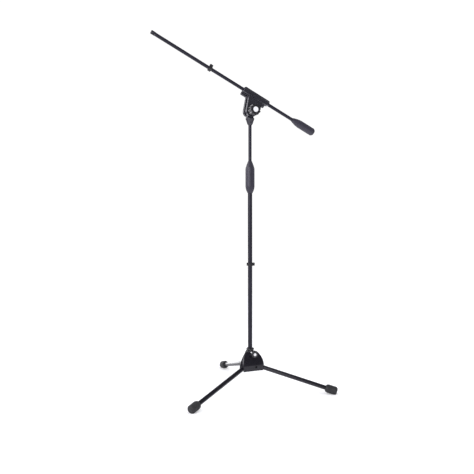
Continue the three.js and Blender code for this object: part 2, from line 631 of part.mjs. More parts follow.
function tiltSpring() {
  const sides = 5;
  const section = [];
  for (let i = 0; i < sides; i++) {
    const angle = (i / sides) * 2 * Math.PI;
    section.push([SPRING_WIRE * Math.cos(angle), SPRING_WIRE * Math.sin(angle)]);
  }
  const coil = new THREE.ExtrudeGeometry(polygon(section), { steps: 44, extrudePath: new Helix() });
  return towardsY(coil);
}

function frictionWasher(side) {
  const near = side > 0 ? WASHER_FACE : -WASHER_FACE - WASHER_THICKNESS;
  return towardsY(pipe(SPRING_RADIUS + SPRING_WIRE + 0.6, 19, near, near + WASHER_THICKNESS, LARGE_ROUND));
}

function tiltKnob() {
  const back = BOSS_OUTER + 1;
  const front = TILT_CAP_FACE - 5;
  const capRadius = 11;
  const capSeat = front - 2.5;
  const insertRadius = 7;
  const insertEnd = BOLT_END + 2;
  const knob = towardsOwnY();
  const stem = turned([[0, back], [11, back], [13, back + 5], [0, back + 5]]);
  const body = joined(flutedKnob(TILT_KNOB_RADIUS, 3, 10, back + 4, front), stem);
  const bore = rod(insertRadius + RUNNING_GAP, back - 2, insertEnd + RUNNING_GAP);
  const recess = rod(capRadius + RUNNING_GAP, capSeat, front + 3);
  knob.add(named("tilt_knob_grip", carved(body, bore, recess), BLACK_PLASTIC));
  const insert = pipe(BOLT_RADIUS + RUNNING_GAP, insertRadius, back, insertEnd);
  knob.add(named("tilt_knob_insert", insert, BRASS));
  const cap = domedCap(capRadius, capSeat + RUNNING_GAP, TILT_CAP_FACE, 4);
  knob.add(named("tilt_knob_cap", cap, WHITE_PLASTIC));
  return knob;
}

// A group whose own Z points along its parent's Y.
function towardsOwnY() {
  const group = new THREE.Group();
  group.rotation.x = -Math.PI / 2;
  return group;
}

// ---------------------------------------------------------------- boom
const THREAD_RADIUS = 7.9; // 5/8 inch microphone thread
const THREAD_LENGTH = 15.5;

function boomThreadTip() {
  const shoulder = TIP_REACH - THREAD_LENGTH;
  const insert = BOOM_RADIUS - WALL - RUNNING_GAP;
  const outline = [[0, shoulder - 18], [insert, shoulder - 18], [insert, shoulder - 3.9]];
  outline.push([BOOM_RADIUS + 0.5, shoulder - 3.9], [BOOM_RADIUS + 0.5, shoulder]);
  outline.push([THREAD_RADIUS, shoulder], [THREAD_RADIUS, TIP_REACH - 1], [THREAD_RADIUS - 1, TIP_REACH]);
  outline.push([0, TIP_REACH]);
  return towardsX(turned(outline)).translate(0, 0, BOOM_OFFSET);
}

const WEIGHT_RADIUS = 13;
const WEIGHT_BACK = TAIL_REACH - 7.5;
const WEIGHT_FRONT = 222;
const BOOM_END = TAIL_REACH - 11.5;
const TAIL_GRIP_RADIUS = 17;
const TAIL_GRIP_FRONT = 190.5;

function counterweightGrip() {
  const bore = BOOM_RADIUS + RUNNING_GAP;
  const cavity = WEIGHT_RADIUS + RUNNING_GAP;
  const cavityBack = -WEIGHT_BACK - RUNNING_GAP;
  const cavityFront = RUNNING_GAP - WEIGHT_FRONT;
  const outline = [[0, cavityBack], [cavity, cavityBack], [cavity, cavityFront], [bore, cavityFront]];
  outline.push([bore, -TAIL_GRIP_FRONT], [8.2, -TAIL_GRIP_FRONT], [10.8, -TAIL_GRIP_FRONT - 8]);
  outline.push([14.8, -TAIL_GRIP_FRONT - 23], [TAIL_GRIP_RADIUS, -TAIL_GRIP_FRONT - 41]);
  outline.push([TAIL_GRIP_RADIUS, -TAIL_REACH + 12], [15.6, -TAIL_REACH + 4.5], [11.5, -TAIL_REACH + 0.8]);
  outline.push([8, -TAIL_REACH], [0, -TAIL_REACH]);
  return towardsX(turned(outline, LARGE_ROUND)).translate(0, 0, BOOM_OFFSET);
}

function boom() {
  const parts = new THREE.Group();
  const onBoom = (geometry) => towardsX(geometry).translate(0, 0, BOOM_OFFSET);
  const tubeEnd = TIP_REACH - THREAD_LENGTH - 4;
  const tube = onBoom(pipe(BOOM_RADIUS - WALL, BOOM_RADIUS, -BOOM_END, tubeEnd));
  const core = onBoom(pipe(BOOM_RADIUS + RUNNING_GAP, WEIGHT_RADIUS, -WEIGHT_BACK, -WEIGHT_FRONT));
  parts.add(named("boom_tube", tube, TUBE_BLACK));
  parts.add(named("boom_thread_tip", boomThreadTip(), CAST_BLACK));
  parts.add(named("counterweight_core", core, STEEL));
  parts.add(named("counterweight_grip", counterweightGrip(), BLACK_PLASTIC));
  const clip = cableClip(BOOM_RADIUS).rotateZ(Math.PI);
  const clipMesh = named("boom_cable_clip", onBoom(clip), BLACK_PLASTIC);
  clipMesh.position.x = BOOM_CLIP_REACH;
  parts.add(clipMesh);
  return parts;
}

function head() {
  const parts = new THREE.Group();
  parts.rotation.z = radians(BOOM_AZIMUTH);
  parts.add(named("head_socket", headSocket(), CAST_BLACK));
  parts.add(named("head_set_screw", headSetScrew(), STEEL));
  const tilted = new THREE.Group();
  tilted.position.z = TILT_HEIGHT;
  tilted.rotation.y = -radians(BOOM_PITCH);
  tilted.add(named("clamp_shell_front", clampShell(1), CAST_BLACK));
  tilted.add(named("clamp_shell_rear", clampShell(-1), CAST_BLACK));
  tilted.add(named("clamp_liner", clampLiner(), GREY_PLASTIC));
  tilted.add(named("friction_washer_front", frictionWasher(1), BLACK_PLASTIC));
  tilted.add(named("friction_washer_rear", frictionWasher(-1), BLACK_PLASTIC));
  tilted.add(named("tilt_bolt", tiltBolt(), STEEL));
  tilted.add(named("tilt_spring", tiltSpring(), STEEL));
  tilted.add(tiltKnob(), boom());
  parts.add(tilted);
  return parts;
}

// ---------------------------------------------------------------- the stand
const stand = new THREE.Group();
stand.add(named("base_hub", baseHub(), GLOSS_BLACK));
stand.add(named("hub_bush", hubBush(), GREY_PLASTIC));
stand.add(named("hub_collar", hubCollar(), BLACK_PLASTIC));
stand.add(baseClamp());
LEG_NAMES.forEach((_, i) => stand.add(leg(i)));
stand.add(pole());
stand.add(head());

const outline = new THREE.Box3().setFromObject(stand, true).getCenter(new THREE.Vector3());
stand.position.set(-outline.x, -outline.y, 0);

const boomMicrophoneStand = new THREE.Group();
boomMicrophoneStand.add(stand);

export default boomMicrophoneStand;
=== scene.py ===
"""A boom microphone stand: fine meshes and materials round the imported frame, in metres, +Z up."""

import json
import math

import bmesh
import bpy
from mathutils import Matrix, Vector


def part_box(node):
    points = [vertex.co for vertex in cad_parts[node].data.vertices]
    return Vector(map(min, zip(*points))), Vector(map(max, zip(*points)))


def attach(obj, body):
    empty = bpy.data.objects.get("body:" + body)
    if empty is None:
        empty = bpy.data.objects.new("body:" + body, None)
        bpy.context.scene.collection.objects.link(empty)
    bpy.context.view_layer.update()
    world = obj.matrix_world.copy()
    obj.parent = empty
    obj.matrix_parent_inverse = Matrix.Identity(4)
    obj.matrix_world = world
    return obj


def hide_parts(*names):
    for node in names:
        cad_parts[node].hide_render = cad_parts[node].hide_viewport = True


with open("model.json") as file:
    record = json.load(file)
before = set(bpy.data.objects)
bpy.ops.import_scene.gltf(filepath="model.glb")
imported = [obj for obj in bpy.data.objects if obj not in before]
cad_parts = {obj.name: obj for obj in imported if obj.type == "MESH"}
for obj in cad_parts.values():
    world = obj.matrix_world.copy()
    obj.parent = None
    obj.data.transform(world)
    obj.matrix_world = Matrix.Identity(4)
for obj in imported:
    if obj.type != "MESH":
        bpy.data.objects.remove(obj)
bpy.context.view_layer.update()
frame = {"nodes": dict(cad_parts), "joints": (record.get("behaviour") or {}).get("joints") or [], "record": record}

# ---------------------------------------------------------------- sizes, in millimetres
MM = 0.001
TUBE_WALL = 1.2
RUNNING_GAP = 0.25  # between pieces that slide, turn or are pushed together
TIGHT_GAP = 0.15  # where a tube sits fast in its cup, sleeve or cone
FINE = 96  # facets round a large turned piece
MEDIUM = 64
SMALL = 32
FILLET_STEPS = 4
LONGEST_FILLET = 0.48  # of the length of a neighbouring side
SHARP_ANGLE = math.radians(42)
MERGE_DISTANCE = 1e-4

JOINTS = {joint["name"]: joint for joint in frame["joints"]}
BODY_OF = {n: body for body, nodes in frame["record"]["behaviour"]["bodies"].items() for n in nodes}
SLOT_OF = {part["node"]: part["material_slot"] for part in frame["record"]["subparts"]}
LEGS = ("rear", "front_left", "front_right")


# ---------------------------------------------------------------- local frames
def local_frame(origin, x_axis, y_axis):
    """The matrix that takes a piece drawn in millimetres to its place in the row frame."""
    x = Vector(x_axis).normalized()
    y = Vector(y_axis).normalized()
    z = x.cross(y)
    rows = [[x[i] * MM, y[i] * MM, z[i] * MM, origin[i]] for i in range(3)]
    return Matrix(rows + [[0, 0, 0, 1]])


def extent(node, place):
    """The lowest and highest corners of a CAD node in a local frame, in millimetres."""
    inverse = place.inverted()
    points = [inverse @ vertex.co for vertex in frame["nodes"][node].data.vertices]
    low = Vector([min(point[i] for point in points) for i in range(3)])
    high = Vector([max(point[i] for point in points) for i in range(3)])
    return low, high


def leg_frame(name):
    """From the leg's pivot: X down the leg, Y along its pin."""
    joint = JOINTS["leg_fold_" + name]
    pivot = Vector(joint["pos_m"])
    vertices = frame["nodes"]["leg_tube_" + name].data.vertices
    middle = sum((vertex.co for vertex in vertices), Vector()) / len(vertices)
    return local_frame(pivot, middle - pivot, joint["axis"])


TO_X = Matrix.Rotation(math.pi / 2, 4, "Y")  # turns a piece drawn along Z to lie along X
TO_Y = Matrix.Rotation(-math.pi / 2, 4, "X")
TUBE_LOW, TUBE_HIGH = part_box("lower_tube")
POLE_X = (TUBE_LOW.x + TUBE_HIGH.x) / 2
POLE_Y = (TUBE_LOW.y + TUBE_HIGH.y) / 2
POLE = local_frame((POLE_X, POLE_Y, 0), (1, 0, 0), (0, 1, 0))
KNOB_HEIGHT = JOINTS["base_knob_turn"]["pos_m"][2] / MM
BASE_CLAMP = local_frame((POLE_X, POLE_Y, KNOB_HEIGHT * MM), (1, 0, 0), (0, 0, 1))
BOLT_AXIS = Vector(JOINTS["tilt_knob_turn"]["axis"])
TILT_POINT = JOINTS["boom_tilt"]["pos_m"]
HEAD = local_frame(TILT_POINT, BOLT_AXIS.cross(Vector((0, 0, 1))), BOLT_AXIS)
CLAMP = local_frame(TILT_POINT, JOINTS["boom_slide"]["axis"], BOLT_AXIS)
BOOM_LOW, BOOM_HIGH = extent("boom_tube", CLAMP)
BOOM_OFFSET = (BOOM_LOW.z + BOOM_HIGH.z) / 2  # boom axis above the tilt axis
BOOM = CLAMP @ Matrix.Translation((0, 0, BOOM_OFFSET)) @ TO_X  # Z along the boom
BOLT = CLAMP @ TO_Y  # Z along the tilt bolt

LEG_RADIUS = extent("leg_tube_rear", leg_frame("rear"))[1].y
LOWER_RADIUS = extent("lower_tube", POLE)[1].x
UPPER_RADIUS = extent("upper_tube", POLE)[1].x
BOOM_RADIUS = (BOOM_HIGH.y - BOOM_LOW.y) / 2


# ---------------------------------------------------------------- mesh helpers
def mesh_object(name, vertices, faces):
    mesh = bpy.data.meshes.new(name)
    mesh.from_pydata([tuple(v) for v in vertices], [], faces)
    shape = bpy.data.objects.new(name, mesh)
    bpy.context.scene.collection.objects.link(shape)
    return shape


def rounded(outline, closed):
    """An outline of (radius, height, fillet) points with each fillet drawn as a curve between its sides."""
    points = []
    count = len(outline)
    for i, corner in enumerate(outline):
        here = Vector(corner[:2])
        fillet = corner[2] if len(corner) > 2 else 0
        if fillet == 0 or (not closed and i in (0, count - 1)):
            points.append(here)
            continue
        to_last = Vector(outline[i - 1][:2]) - here
        to_next = Vector(outline[(i + 1) % count][:2]) - here
        half = to_last.angle(to_next) / 2
        longest = LONGEST_FILLET * min(to_last.length, to_next.length)
        reach = min(fillet / math.tan(half), longest)
        start = here + to_last.normalized() * reach
        end = here + to_next.normalized() * reach
        for step in range(FILLET_STEPS + 1):
            t = step / FILLET_STEPS
            points.append(start.lerp(here, t).lerp(here.lerp(end, t), t))
    return points


def turned(name, outline, segments=FINE, relief=None):
    """An outline turned round Z. It starts and ends on the axis, or closes into a ring.
    relief(angle, z, radius) is added to each point's radius."""
    on_axis = outline[0][0] == 0
    points = rounded(outline, closed=not on_axis)
    area = sum(a.x * b.y - b.x * a.y for a, b in zip(points, points[1:] + points[:1]))
    if area < 0:
        points.reverse()
    vertices = []
    rows = []
    for point in points:
        if point.x == 0:
            rows.append([len(vertices)] * segments)
            vertices.append((0, 0, point.y))
            continue
        rows.append([len(vertices) + i for i in range(segments)])
        for i in range(segments):
            angle = 2 * math.pi * i / segments
            radius = point.x + (relief(angle, point.y, point.x) if relief else 0)
            vertices.append((radius * math.cos(angle), radius * math.sin(angle), point.y))
    if not on_axis:
        rows.append(rows[0])
    faces = []
    for low, high in zip(rows, rows[1:]):
        for i in range(segments):
            j = (i + 1) % segments
            corners = [low[i], low[j], high[j], high[i]]
            face = [v for k, v in enumerate(corners) if v != corners[k - 1]]
            if len(face) > 2:
                faces.append(face)
    return mesh_object(name, vertices, faces)


def slab(outline, low, high):
    """A flat outline in the XZ plane, with its thickness from low to high along Y."""
    count = len(outline)
    vertices = [(x, low, z) for x, z in outline] + [(x, high, z) for x, z in outline]
    faces = [list(range(count)), list(range(2 * count - 1, count - 1, -1))]
    faces += [[i, i + count, (i + 1) % count + count, (i + 1) % count] for i in range(count)]
    shape = mesh_object("slab", vertices, faces)
    outward(shape)
    return shape


def block(low, high):
    corners = [(low[0], low[2]), (high[0], low[2]), (high[0], high[2]), (low[0], high[2])]
    return slab(corners, low[1], high[1])


def outward(shape):
    work = bmesh.new()
    work.from_mesh(shape.data)
    bmesh.ops.recalc_face_normals(work, faces=work.faces)
    work.to_mesh(shape.data)
    work.free()


def moved(shape, matrix):
    shape.data.transform(matrix)
    return shape


def shifted(shape, z, y=0):
    return moved(shape, Matrix.Translation((0, y, z)))


def bake(shape):
    """Replaces the mesh with what its modifiers make of it."""
    graph = bpy.context.evaluated_depsgraph_get()
    mesh = bpy.data.meshes.new_from_object(shape.evaluated_get(graph))
    shape.modifiers.clear()
    shape.data = mesh
    return shape


def boolean(shape, operation, tools):
    for tool in tools:
        modifier = shape.modifiers.new(operation, "BOOLEAN")
        modifier.operation = operation
        modifier.solver = "EXACT"
        modifier.object = tool
    bake(shape)
    for tool in tools:
        bpy.data.objects.remove(tool)
    return shape


def carved(shape, *tools):
    return boolean(shape, "DIFFERENCE", tools)


def joined(shape, *tools):
    return boolean(shape, "UNION", tools)


def cast(shape, voxel, smoothing=6):
    """Gives a joined shape the soft inner and outer corners of a casting."""
    remesh = shape.modifiers.new("remesh", "REMESH")
    remesh.mode = "VOXEL"
    remesh.voxel_size = voxel
    smooth = shape.modifiers.new("smooth", "SMOOTH")
    smooth.factor = 0.5
    smooth.iterations = smoothing
    return bake(shape)


def shade(shape):
    """Smooth shading, with true corners left sharp."""
    work = bmesh.new()
    work.from_mesh(shape.data)
    bmesh.ops.remove_doubles(work, verts=work.verts, dist=MERGE_DISTANCE)
    for face in work.faces:
        face.smooth = True
    for edge in work.edges:
        edge.smooth = len(edge.link_faces) != 2 or edge.calc_face_angle(0) < SHARP_ANGLE
    work.to_mesh(shape.data)
    work.free()


def piece(node, shape, place):
    """Puts a shape drawn in millimetres in the place of a CAD node, on the same body and in its finish."""
    shade(shape)
    shape.name = node + "_fine"
    shape.data.name = shape.name
    shape.data.transform(place)
    shape.data.materials.clear()
    shape.data.materials.append(FINISHES[SLOT_OF[node]])
    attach(shape, BODY_OF[node])
    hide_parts(node)
    return shape


# ---------------------------------------------------------------- materials
# Noise scales are per metre, and bump depths are in metres.
MOTTLE_SCALE = 25
WEAR_SCALE = 260
WORN_FROM = 0.53  # the pointiness at which wear begins
WORN_FULLY = 0.6
RIM_FROM = 0.85  # how far a surface has turned away from the eye where its shine begins to drop
RIM_SHINE = 0.4  # share of the shine that is left at the rim


def add_node(tree, kind, **settings):
    node = tree.nodes.new(kind)
    for key, value in settings.items():
        setattr(node, key, value)
    return node


class Nodes:
    """A small helper that builds a material's node tree."""

    def __init__(self, name):
        self.material = bpy.data.materials.new(name)
        self.material.use_nodes = True
        self.tree = self.material.node_tree
        self.shader = self.tree.nodes["Principled BSDF"]
        self.place = self.add("ShaderNodeTexCoord").outputs["Object"]

    def add(self, kind, **settings):
        return add_node(self.tree, kind, **settings)

    def link(self, source, target):
        self.tree.links.new(source, target)

    def noise(self, per_metre, detail, stretch=None):
        node = self.add("ShaderNodeTexNoise")
        node.inputs["Scale"].default_value = per_metre
        node.inputs["Detail"].default_value = detail
        source = self.place
        if stretch:
            mapping = self.add("ShaderNodeMapping")
            mapping.inputs["Scale"].default_value = stretch
            self.link(source, mapping.inputs["Vector"])
            source = mapping.outputs["Vector"]
        self.link(source, node.inputs["Vector"])
        return node.outputs["Fac"]

    def span(self, source, low, high, start=0.3, end=0.7):
        node = self.add("ShaderNodeMapRange")
        for key, value in (("From Min", start), ("From Max", end), ("To Min", low), ("To Max", high)):
            node.inputs[key].default_value = value
        self.link(source, node.inputs["Value"])
        return node.outputs["Result"]

    def mix(self, factor, first, second):
        node = self.add("ShaderNodeMix", data_type="RGBA")
        self.link(factor, node.inputs["Factor"])
        for value, key in ((first, 6), (second, 7)):
            if isinstance(value, tuple):
                node.inputs[key].default_value = (*value, 1)
            else:
                self.link(value, node.inputs[key])
        return node.outputs[2]

    def bump(self, height, strength, distance):
        node = self.add("ShaderNodeBump")
        node.inputs["Strength"].default_value = strength
        node.inputs["Distance"].default_value = distance
        self.link(height, node.inputs["Height"])
        return node.outputs["Normal"]

    def worn_edges(self):
        pointiness = self.add("ShaderNodeNewGeometry").outputs["Pointiness"]
        return self.span(pointiness, 0, 1, WORN_FROM, WORN_FULLY)

    def less_at_rim(self, amount):
        rim = self.add("ShaderNodeLayerWeight").outputs["Facing"]
        return self.span(rim, amount, amount * RIM_SHINE, RIM_FROM, 1)


def coloured(name, base, worn, roughness, grain, grain_depth, metallic=0.0, spread=0.35, wear=0.35,
             coat=0.0, coat_roughness=0.08, specular=0.5, sheen=0.0, stretch=None):
    """A coloured surface: mottled tone, fine grain in its bump and roughness, lighter worn edges, and less
    shine where it turns away from the eye, as on lacquer that is full of fine dust."""
    n = Nodes(name)
    tone = n.span(n.noise(MOTTLE_SCALE, 4.0), 0, 1)
    lighter = tuple(min(1, c * (1 + spread)) for c in base)
    colour = n.mix(tone, base, lighter)
    fine = n.noise(grain, 2.0, stretch)
    edge = n.add("ShaderNodeMath", operation="MULTIPLY")
    n.link(n.worn_edges(), edge.inputs[0])
    n.link(n.span(n.noise(WEAR_SCALE, 3.0), 0, wear), edge.inputs[1])
    colour = n.mix(edge.outputs[0], colour, worn)
    n.link(colour, n.shader.inputs["Base Color"])
    n.link(n.span(fine, roughness * 0.85, roughness * 1.2), n.shader.inputs["Roughness"])
    n.link(n.bump(fine, 0.6, grain_depth), n.shader.inputs["Normal"])
    n.shader.inputs["Metallic"].default_value = metallic
    n.link(n.less_at_rim(specular), n.shader.inputs["Specular IOR Level"])
    n.link(n.less_at_rim(coat), n.shader.inputs["Coat Weight"])
    n.shader.inputs["Coat Roughness"].default_value = coat_roughness
    n.shader.inputs["Sheen Weight"].default_value = sheen
    return n.material


FINISHES = {
    "gloss_black": coloured("gloss_black", (0.008, 0.007, 0.012), (0.05, 0.05, 0.06), 0.3, grain=1100,
                            grain_depth=0.00002, specular=0.35, coat=0.45, coat_roughness=0.12, wear=0.5),
    "satin_black_tube": coloured("satin_black_tube", (0.016, 0.015, 0.026), (0.06, 0.06, 0.07), 0.4,
                                 grain=1500, grain_depth=0.00002, specular=0.3, wear=0.4),
    "cast_black": coloured("cast_black", (0.016, 0.015, 0.025), (0.08, 0.08, 0.1), 0.4, grain=1300,
                           grain_depth=0.00006, specular=0.7, coat=0.5, coat_roughness=0.2, wear=0.6),
    "black_plastic": coloured("black_plastic", (0.014, 0.013, 0.017), (0.05, 0.05, 0.06), 0.42, grain=1600,
                              grain_depth=0.00004, coat=0.8, coat_roughness=0.1),
    "grip_black": coloured("grip_black", (0.03, 0.027, 0.044), (0.08, 0.08, 0.1), 0.4, grain=2200,
                           grain_depth=0.00005, sheen=0.1, spread=0.25),
    "white_plastic": coloured("white_plastic", (0.86, 0.86, 0.88), (0.9, 0.9, 0.9), 0.28, grain=700,
                              grain_depth=0.00002, coat=0.3, spread=0.04, wear=0.1),
    "grey_plastic": coloured("grey_plastic", (0.34, 0.33, 0.38), (0.5, 0.5, 0.52), 0.45, grain=1400,
                             grain_depth=0.00004, spread=0.15),
    "foot_rubber": coloured("foot_rubber", (0.022, 0.022, 0.025), (0.07, 0.07, 0.07), 0.6, grain=1900,
                            grain_depth=0.0001, specular=0.4, sheen=0.1),
    "bright_steel": coloured("bright_steel", (0.78, 0.78, 0.8), (0.9, 0.9, 0.9), 0.14, metallic=1.0,
                             grain=500, grain_depth=0.00001, spread=0.08, wear=0.2),
    "zinc_steel": coloured("zinc_steel", (0.46, 0.46, 0.5), (0.7, 0.7, 0.72), 0.32, metallic=1.0,
                           grain=2500, grain_depth=0.00002, spread=0.2, stretch=(1, 1, 0.1)),
    "knob_brass": coloured("knob_brass", (0.62, 0.46, 0.2), (0.8, 0.65, 0.35), 0.3, metallic=1.0,
                           grain=1800, grain_depth=0.00002),
}


# ---------------------------------------------------------------- shapes that several pieces share
def copied(shape):
    twin = shape.copy()
    twin.data = shape.data.copy()
    bpy.context.scene.collection.objects.link(twin)
    return twin


def rod(radius, start, end, segments=MEDIUM, edge=0.0):
    return turned("rod", [(0, start), (radius, start, edge), (radius, end, edge), (0, end)], segments)


def pipe(inner, outer, start, end, segments=MEDIUM, edge=0.35):
    outline = [(inner, start, edge), (outer, start, edge), (outer, end, edge), (inner, end, edge)]
    return turned("pipe", outline, segments)


THREAD_ROWS = 6  # rows of points in one turn of a thread


def thread_side(radius, start, end, pitch):
    """The side of an outline, in rows that are close enough to carry a thread."""
    rows = math.ceil((end - start) / pitch * THREAD_ROWS)
    return [(radius, start + (end - start) * row / rows) for row in range(rows + 1)]


def thread_cut(angle, z, pitch):
    """How deep a helical V thread is cut at a point: 0 on its crest and 1 at its root."""
    turns = z / pitch - angle / (2 * math.pi)
    return abs(2 * (turns % 1) - 1)


def threaded(radius, start, end, pitch, depth):
    """A screw along Z with a thread that runs out at both ends."""
    outline = [(0, start), *thread_side(radius, start, end, pitch), (0, end)]

    def relief(angle, z, _):
        fade = min(1, (z - start) / pitch + 0.3, (end - z) / pitch + 0.3)
        return -depth * (thread_cut(angle, z, pitch) * fade + 1 - fade)

    return turned("screw", outline, 48, relief)


FLUTES_FROM = 0.72  # share of a knob's radius at which its flutes begin on an end face
FLUTES_FADE = 0.2


def flutes(count, depth, radius, power=2):
    """Hollows down the side of a knob, for turned()."""
    def relief(angle, _, r):
        reach = max(0, min(1, (r / radius - FLUTES_FROM) / FLUTES_FADE))
        return -depth * reach * (0.5 - 0.5 * math.cos(count * angle)) ** power

    return relief


def domed_cap(radius, start, end, dome):
    steps = 10
    outline = [(0, start), (radius, start, 0.3)]
    for step in range(steps + 1):
        angle = step / steps * math.pi / 2
        outline.append((radius * math.cos(angle), end - dome * (1 - math.sin(angle))))
    outline[-1] = (0, end)
    return turned("cap", outline)


def hexagon(apothem):
    """Six flats on the side of a bolt's head, for turned()."""
    def relief(angle, _, r):
        flat = apothem / math.cos((angle % (math.pi / 3)) - math.pi / 6)
        return min(0, flat - r)

    return relief


# ---------------------------------------------------------------- tripod hub
HUB_LOW, HUB_HIGH = extent("base_hub", POLE)
HUB_BOTTOM = HUB_LOW.z
HUB_REACH = HUB_HIGH.y + 0.25  # how far a ridge reaches over its leg, at the bottom
NECK_TOP = HUB_HIGH.z
NECK_RADIUS = 13.5
HUB_TOP = NECK_TOP - 3.5  # where the dome is cut flat
CROWN_HEIGHT = NECK_TOP + 1.5
CROWN_RADIUS = 17  # what the dome's sides close in to, at the crown's height
PANEL_REACH = 38
PANEL_SKIRT = 0.28  # share of the height over which a panel stands upright
RIDGE_HALF_WIDTH = 14  # below its shoulder
RIDGE_SHOULDER = 0.3  # share of the height above which a ridge narrows
RIDGE_CROWN_HALF = 3
BUSH_RADIUS = extent("hub_bush", POLE)[1].x
PIVOT_HEIGHT = JOINTS["leg_fold_rear"]["pos_m"][2] / MM
PIVOT_REACH = JOINTS["leg_fold_rear"]["pos_m"][1] / MM - POLE_Y / MM
PIN_HALF = extent("leg_pin_rear", leg_frame("rear"))[1].y
PIN_RADIUS = 2.5
PIN_HEAD_RADIUS = 3.6
PIN_HEAD = 1.2
SCREW_RADIUS = extent("base_clamp_screw", BASE_CLAMP)[1].x
SCREW_PITCH = 1.25
LEG_SLOPE = math.asin(-leg_frame("rear").col[0].z / MM)


def hub_reach(from_leg, height):
    """How far the hub reaches at an angle from its nearest leg, for a height from 0 to 1 at the crown."""
    ridge = CROWN_RADIUS + (HUB_REACH - CROWN_RADIUS) * (1 - height ** 2.6) ** 0.72
    lean = (max(0, height - PANEL_SKIRT) / (1 - PANEL_SKIRT)) ** 1.3
    panel = PANEL_REACH + (CROWN_RADIUS - PANEL_REACH) * lean
    narrowing = max(0, height - RIDGE_SHOULDER) / (1 - RIDGE_SHOULDER)
    half = RIDGE_HALF_WIDTH + (RIDGE_CROWN_HALF - RIDGE_HALF_WIDTH) * narrowing
    along = (abs(math.cos(from_leg)) / ridge) ** 4
    across = (abs(math.sin(from_leg)) / half) ** 4
    ridge_reach = (along + across) ** -0.25
    panel_reach = panel / math.cos(math.pi / 3 - abs(from_leg))
    body = (ridge_reach ** 9 + panel_reach ** 9) ** (1 / 9)
    end = ridge / math.cos(from_leg)  # the ridge ends square to its leg
    return (body ** -12 + end ** -12) ** (-1 / 12)


def hub_dome():
    columns = 192
    rows = 44
    vertices = []
    for row in range(rows + 1):
        z = HUB_BOTTOM + (HUB_TOP - HUB_BOTTOM) * row / rows
        height = (z - HUB_BOTTOM) / (CROWN_HEIGHT - HUB_BOTTOM)
        for column in range(columns):
            angle = 2 * math.pi * column / columns
            from_leg = (angle - math.pi / 6) % (2 * math.pi / 3) - math.pi / 3
            reach = hub_reach(from_leg, height)
            vertices.append((reach * math.cos(angle), reach * math.sin(angle), z))
    faces = [list(range(columns))[::-1]]
    for row in range(rows):
        for column in range(columns):
            a = row * columns + column
            b = row * columns + (column + 1) % columns
            faces.append([a, b, b + columns, a + columns])
    faces.append(list(range(rows * columns, (rows + 1) * columns)))
    return mesh_object("dome", vertices, faces)


def at_pivot(shape, name):
    """Moves a tool from the leg's own plane, drawn about its pivot, to that leg's place in the hub."""
    joint = JOINTS["leg_fold_" + name]
    azimuth = math.atan2(joint["pos_m"][1] - POLE_Y, joint["pos_m"][0] - POLE_X)
    turn = Matrix.Rotation(azimuth, 4, "Z") @ Matrix.Translation((PIVOT_REACH, 0, PIVOT_HEIGHT))
    return moved(shape, turn)


def leg_slot():
    """Open below and outwards. Its roof is the stop that sets the open leg's slope."""
    radius = LEG_RADIUS + 0.9
    depth = 60
    reach = 60
    steps = 16
    normal = math.pi / 2 - LEG_SLOPE
    outline = [(-radius, -depth)]
    for step in range(steps + 1):
        angle = math.pi + (normal - math.pi) * step / steps
        outline.append((radius * math.cos(angle), radius * math.sin(angle)))
    roof_x = radius * math.cos(normal) + reach * math.cos(LEG_SLOPE)
    outline.append((roof_x, radius * math.sin(normal) - reach * math.sin(LEG_SLOPE)))
    outline.append((roof_x, -depth))
    half_width = LEG_RADIUS + 1
    return slab(outline, -half_width, half_width)


def pin_bore():
    """A blind hole with a counterbore for the pin's head on the clockwise side."""
    hole = PIN_RADIUS + RUNNING_GAP
    counterbore = PIN_HEAD_RADIUS + RUNNING_GAP
    step = PIN_HALF - PIN_HEAD - RUNNING_GAP
    outside = PIN_HALF + 18
    end = PIN_HALF + RUNNING_GAP
    outline = [(0, -outside), (counterbore, -outside), (counterbore, -step), (hole, -step)]
    outline += [(hole, end), (0, end)]
    return moved(turned("bore", outline, SMALL), TO_Y)


def hub():
    body = joined(hub_dome(), rod(NECK_RADIUS, HUB_TOP - 5, NECK_TOP))
    bore = rod(BUSH_RADIUS + RUNNING_GAP, HUB_BOTTOM - 10, NECK_TOP + 10)
    screw_hole = shifted(moved(rod(SCREW_RADIUS + RUNNING_GAP, -60, 0, SMALL), TO_Y), z=KNOB_HEIGHT)
    slots = [at_pivot(leg_slot(), name) for name in LEGS]
    pin_bores = [at_pivot(pin_bore(), name) for name in LEGS]
    body = carved(body, bore, screw_hole, *slots, *pin_bores)
    piece("base_hub", cast(body, voxel=0.65, smoothing=4), POLE)


def hub_fittings():
    low, high = extent("hub_bush", POLE)
    sleeve = pipe(LOWER_RADIUS + RUNNING_GAP, BUSH_RADIUS, low.z, high.z)
    window = shifted(moved(rod(SCREW_RADIUS + RUNNING_GAP, -20, 0), TO_Y), z=KNOB_HEIGHT)
    piece("hub_bush", carved(sleeve, window), POLE)

    low, high = extent("hub_collar", POLE)
    inner = LOWER_RADIUS + RUNNING_GAP
    outline = [(inner, low.z, 0.3), (NECK_RADIUS - 0.6, low.z, 0.5), (high.x, low.z + 4.3, 1.2)]
    outline += [(high.x, high.z - 2.5, 1.5), (high.x - 1.6, high.z, 0.6), (inner, high.z, 0.3)]
    notches = 20
    collar = turned("collar", outline, 12 * notches, flutes(notches, 0.5, high.x, power=1))
    piece("hub_collar", collar, POLE)

    head_end = PIN_HEAD - PIN_HALF
    outline = [(0, -PIN_HALF), (PIN_HEAD_RADIUS, -PIN_HALF, 0.5), (PIN_HEAD_RADIUS, head_end)]
    outline += [(PIN_RADIUS, head_end), (PIN_RADIUS, PIN_HALF, 0.4), (0, PIN_HALF)]
    for name in LEGS:
        piece("leg_pin_" + name, turned("pin", outline, 48), leg_frame(name) @ TO_Y)


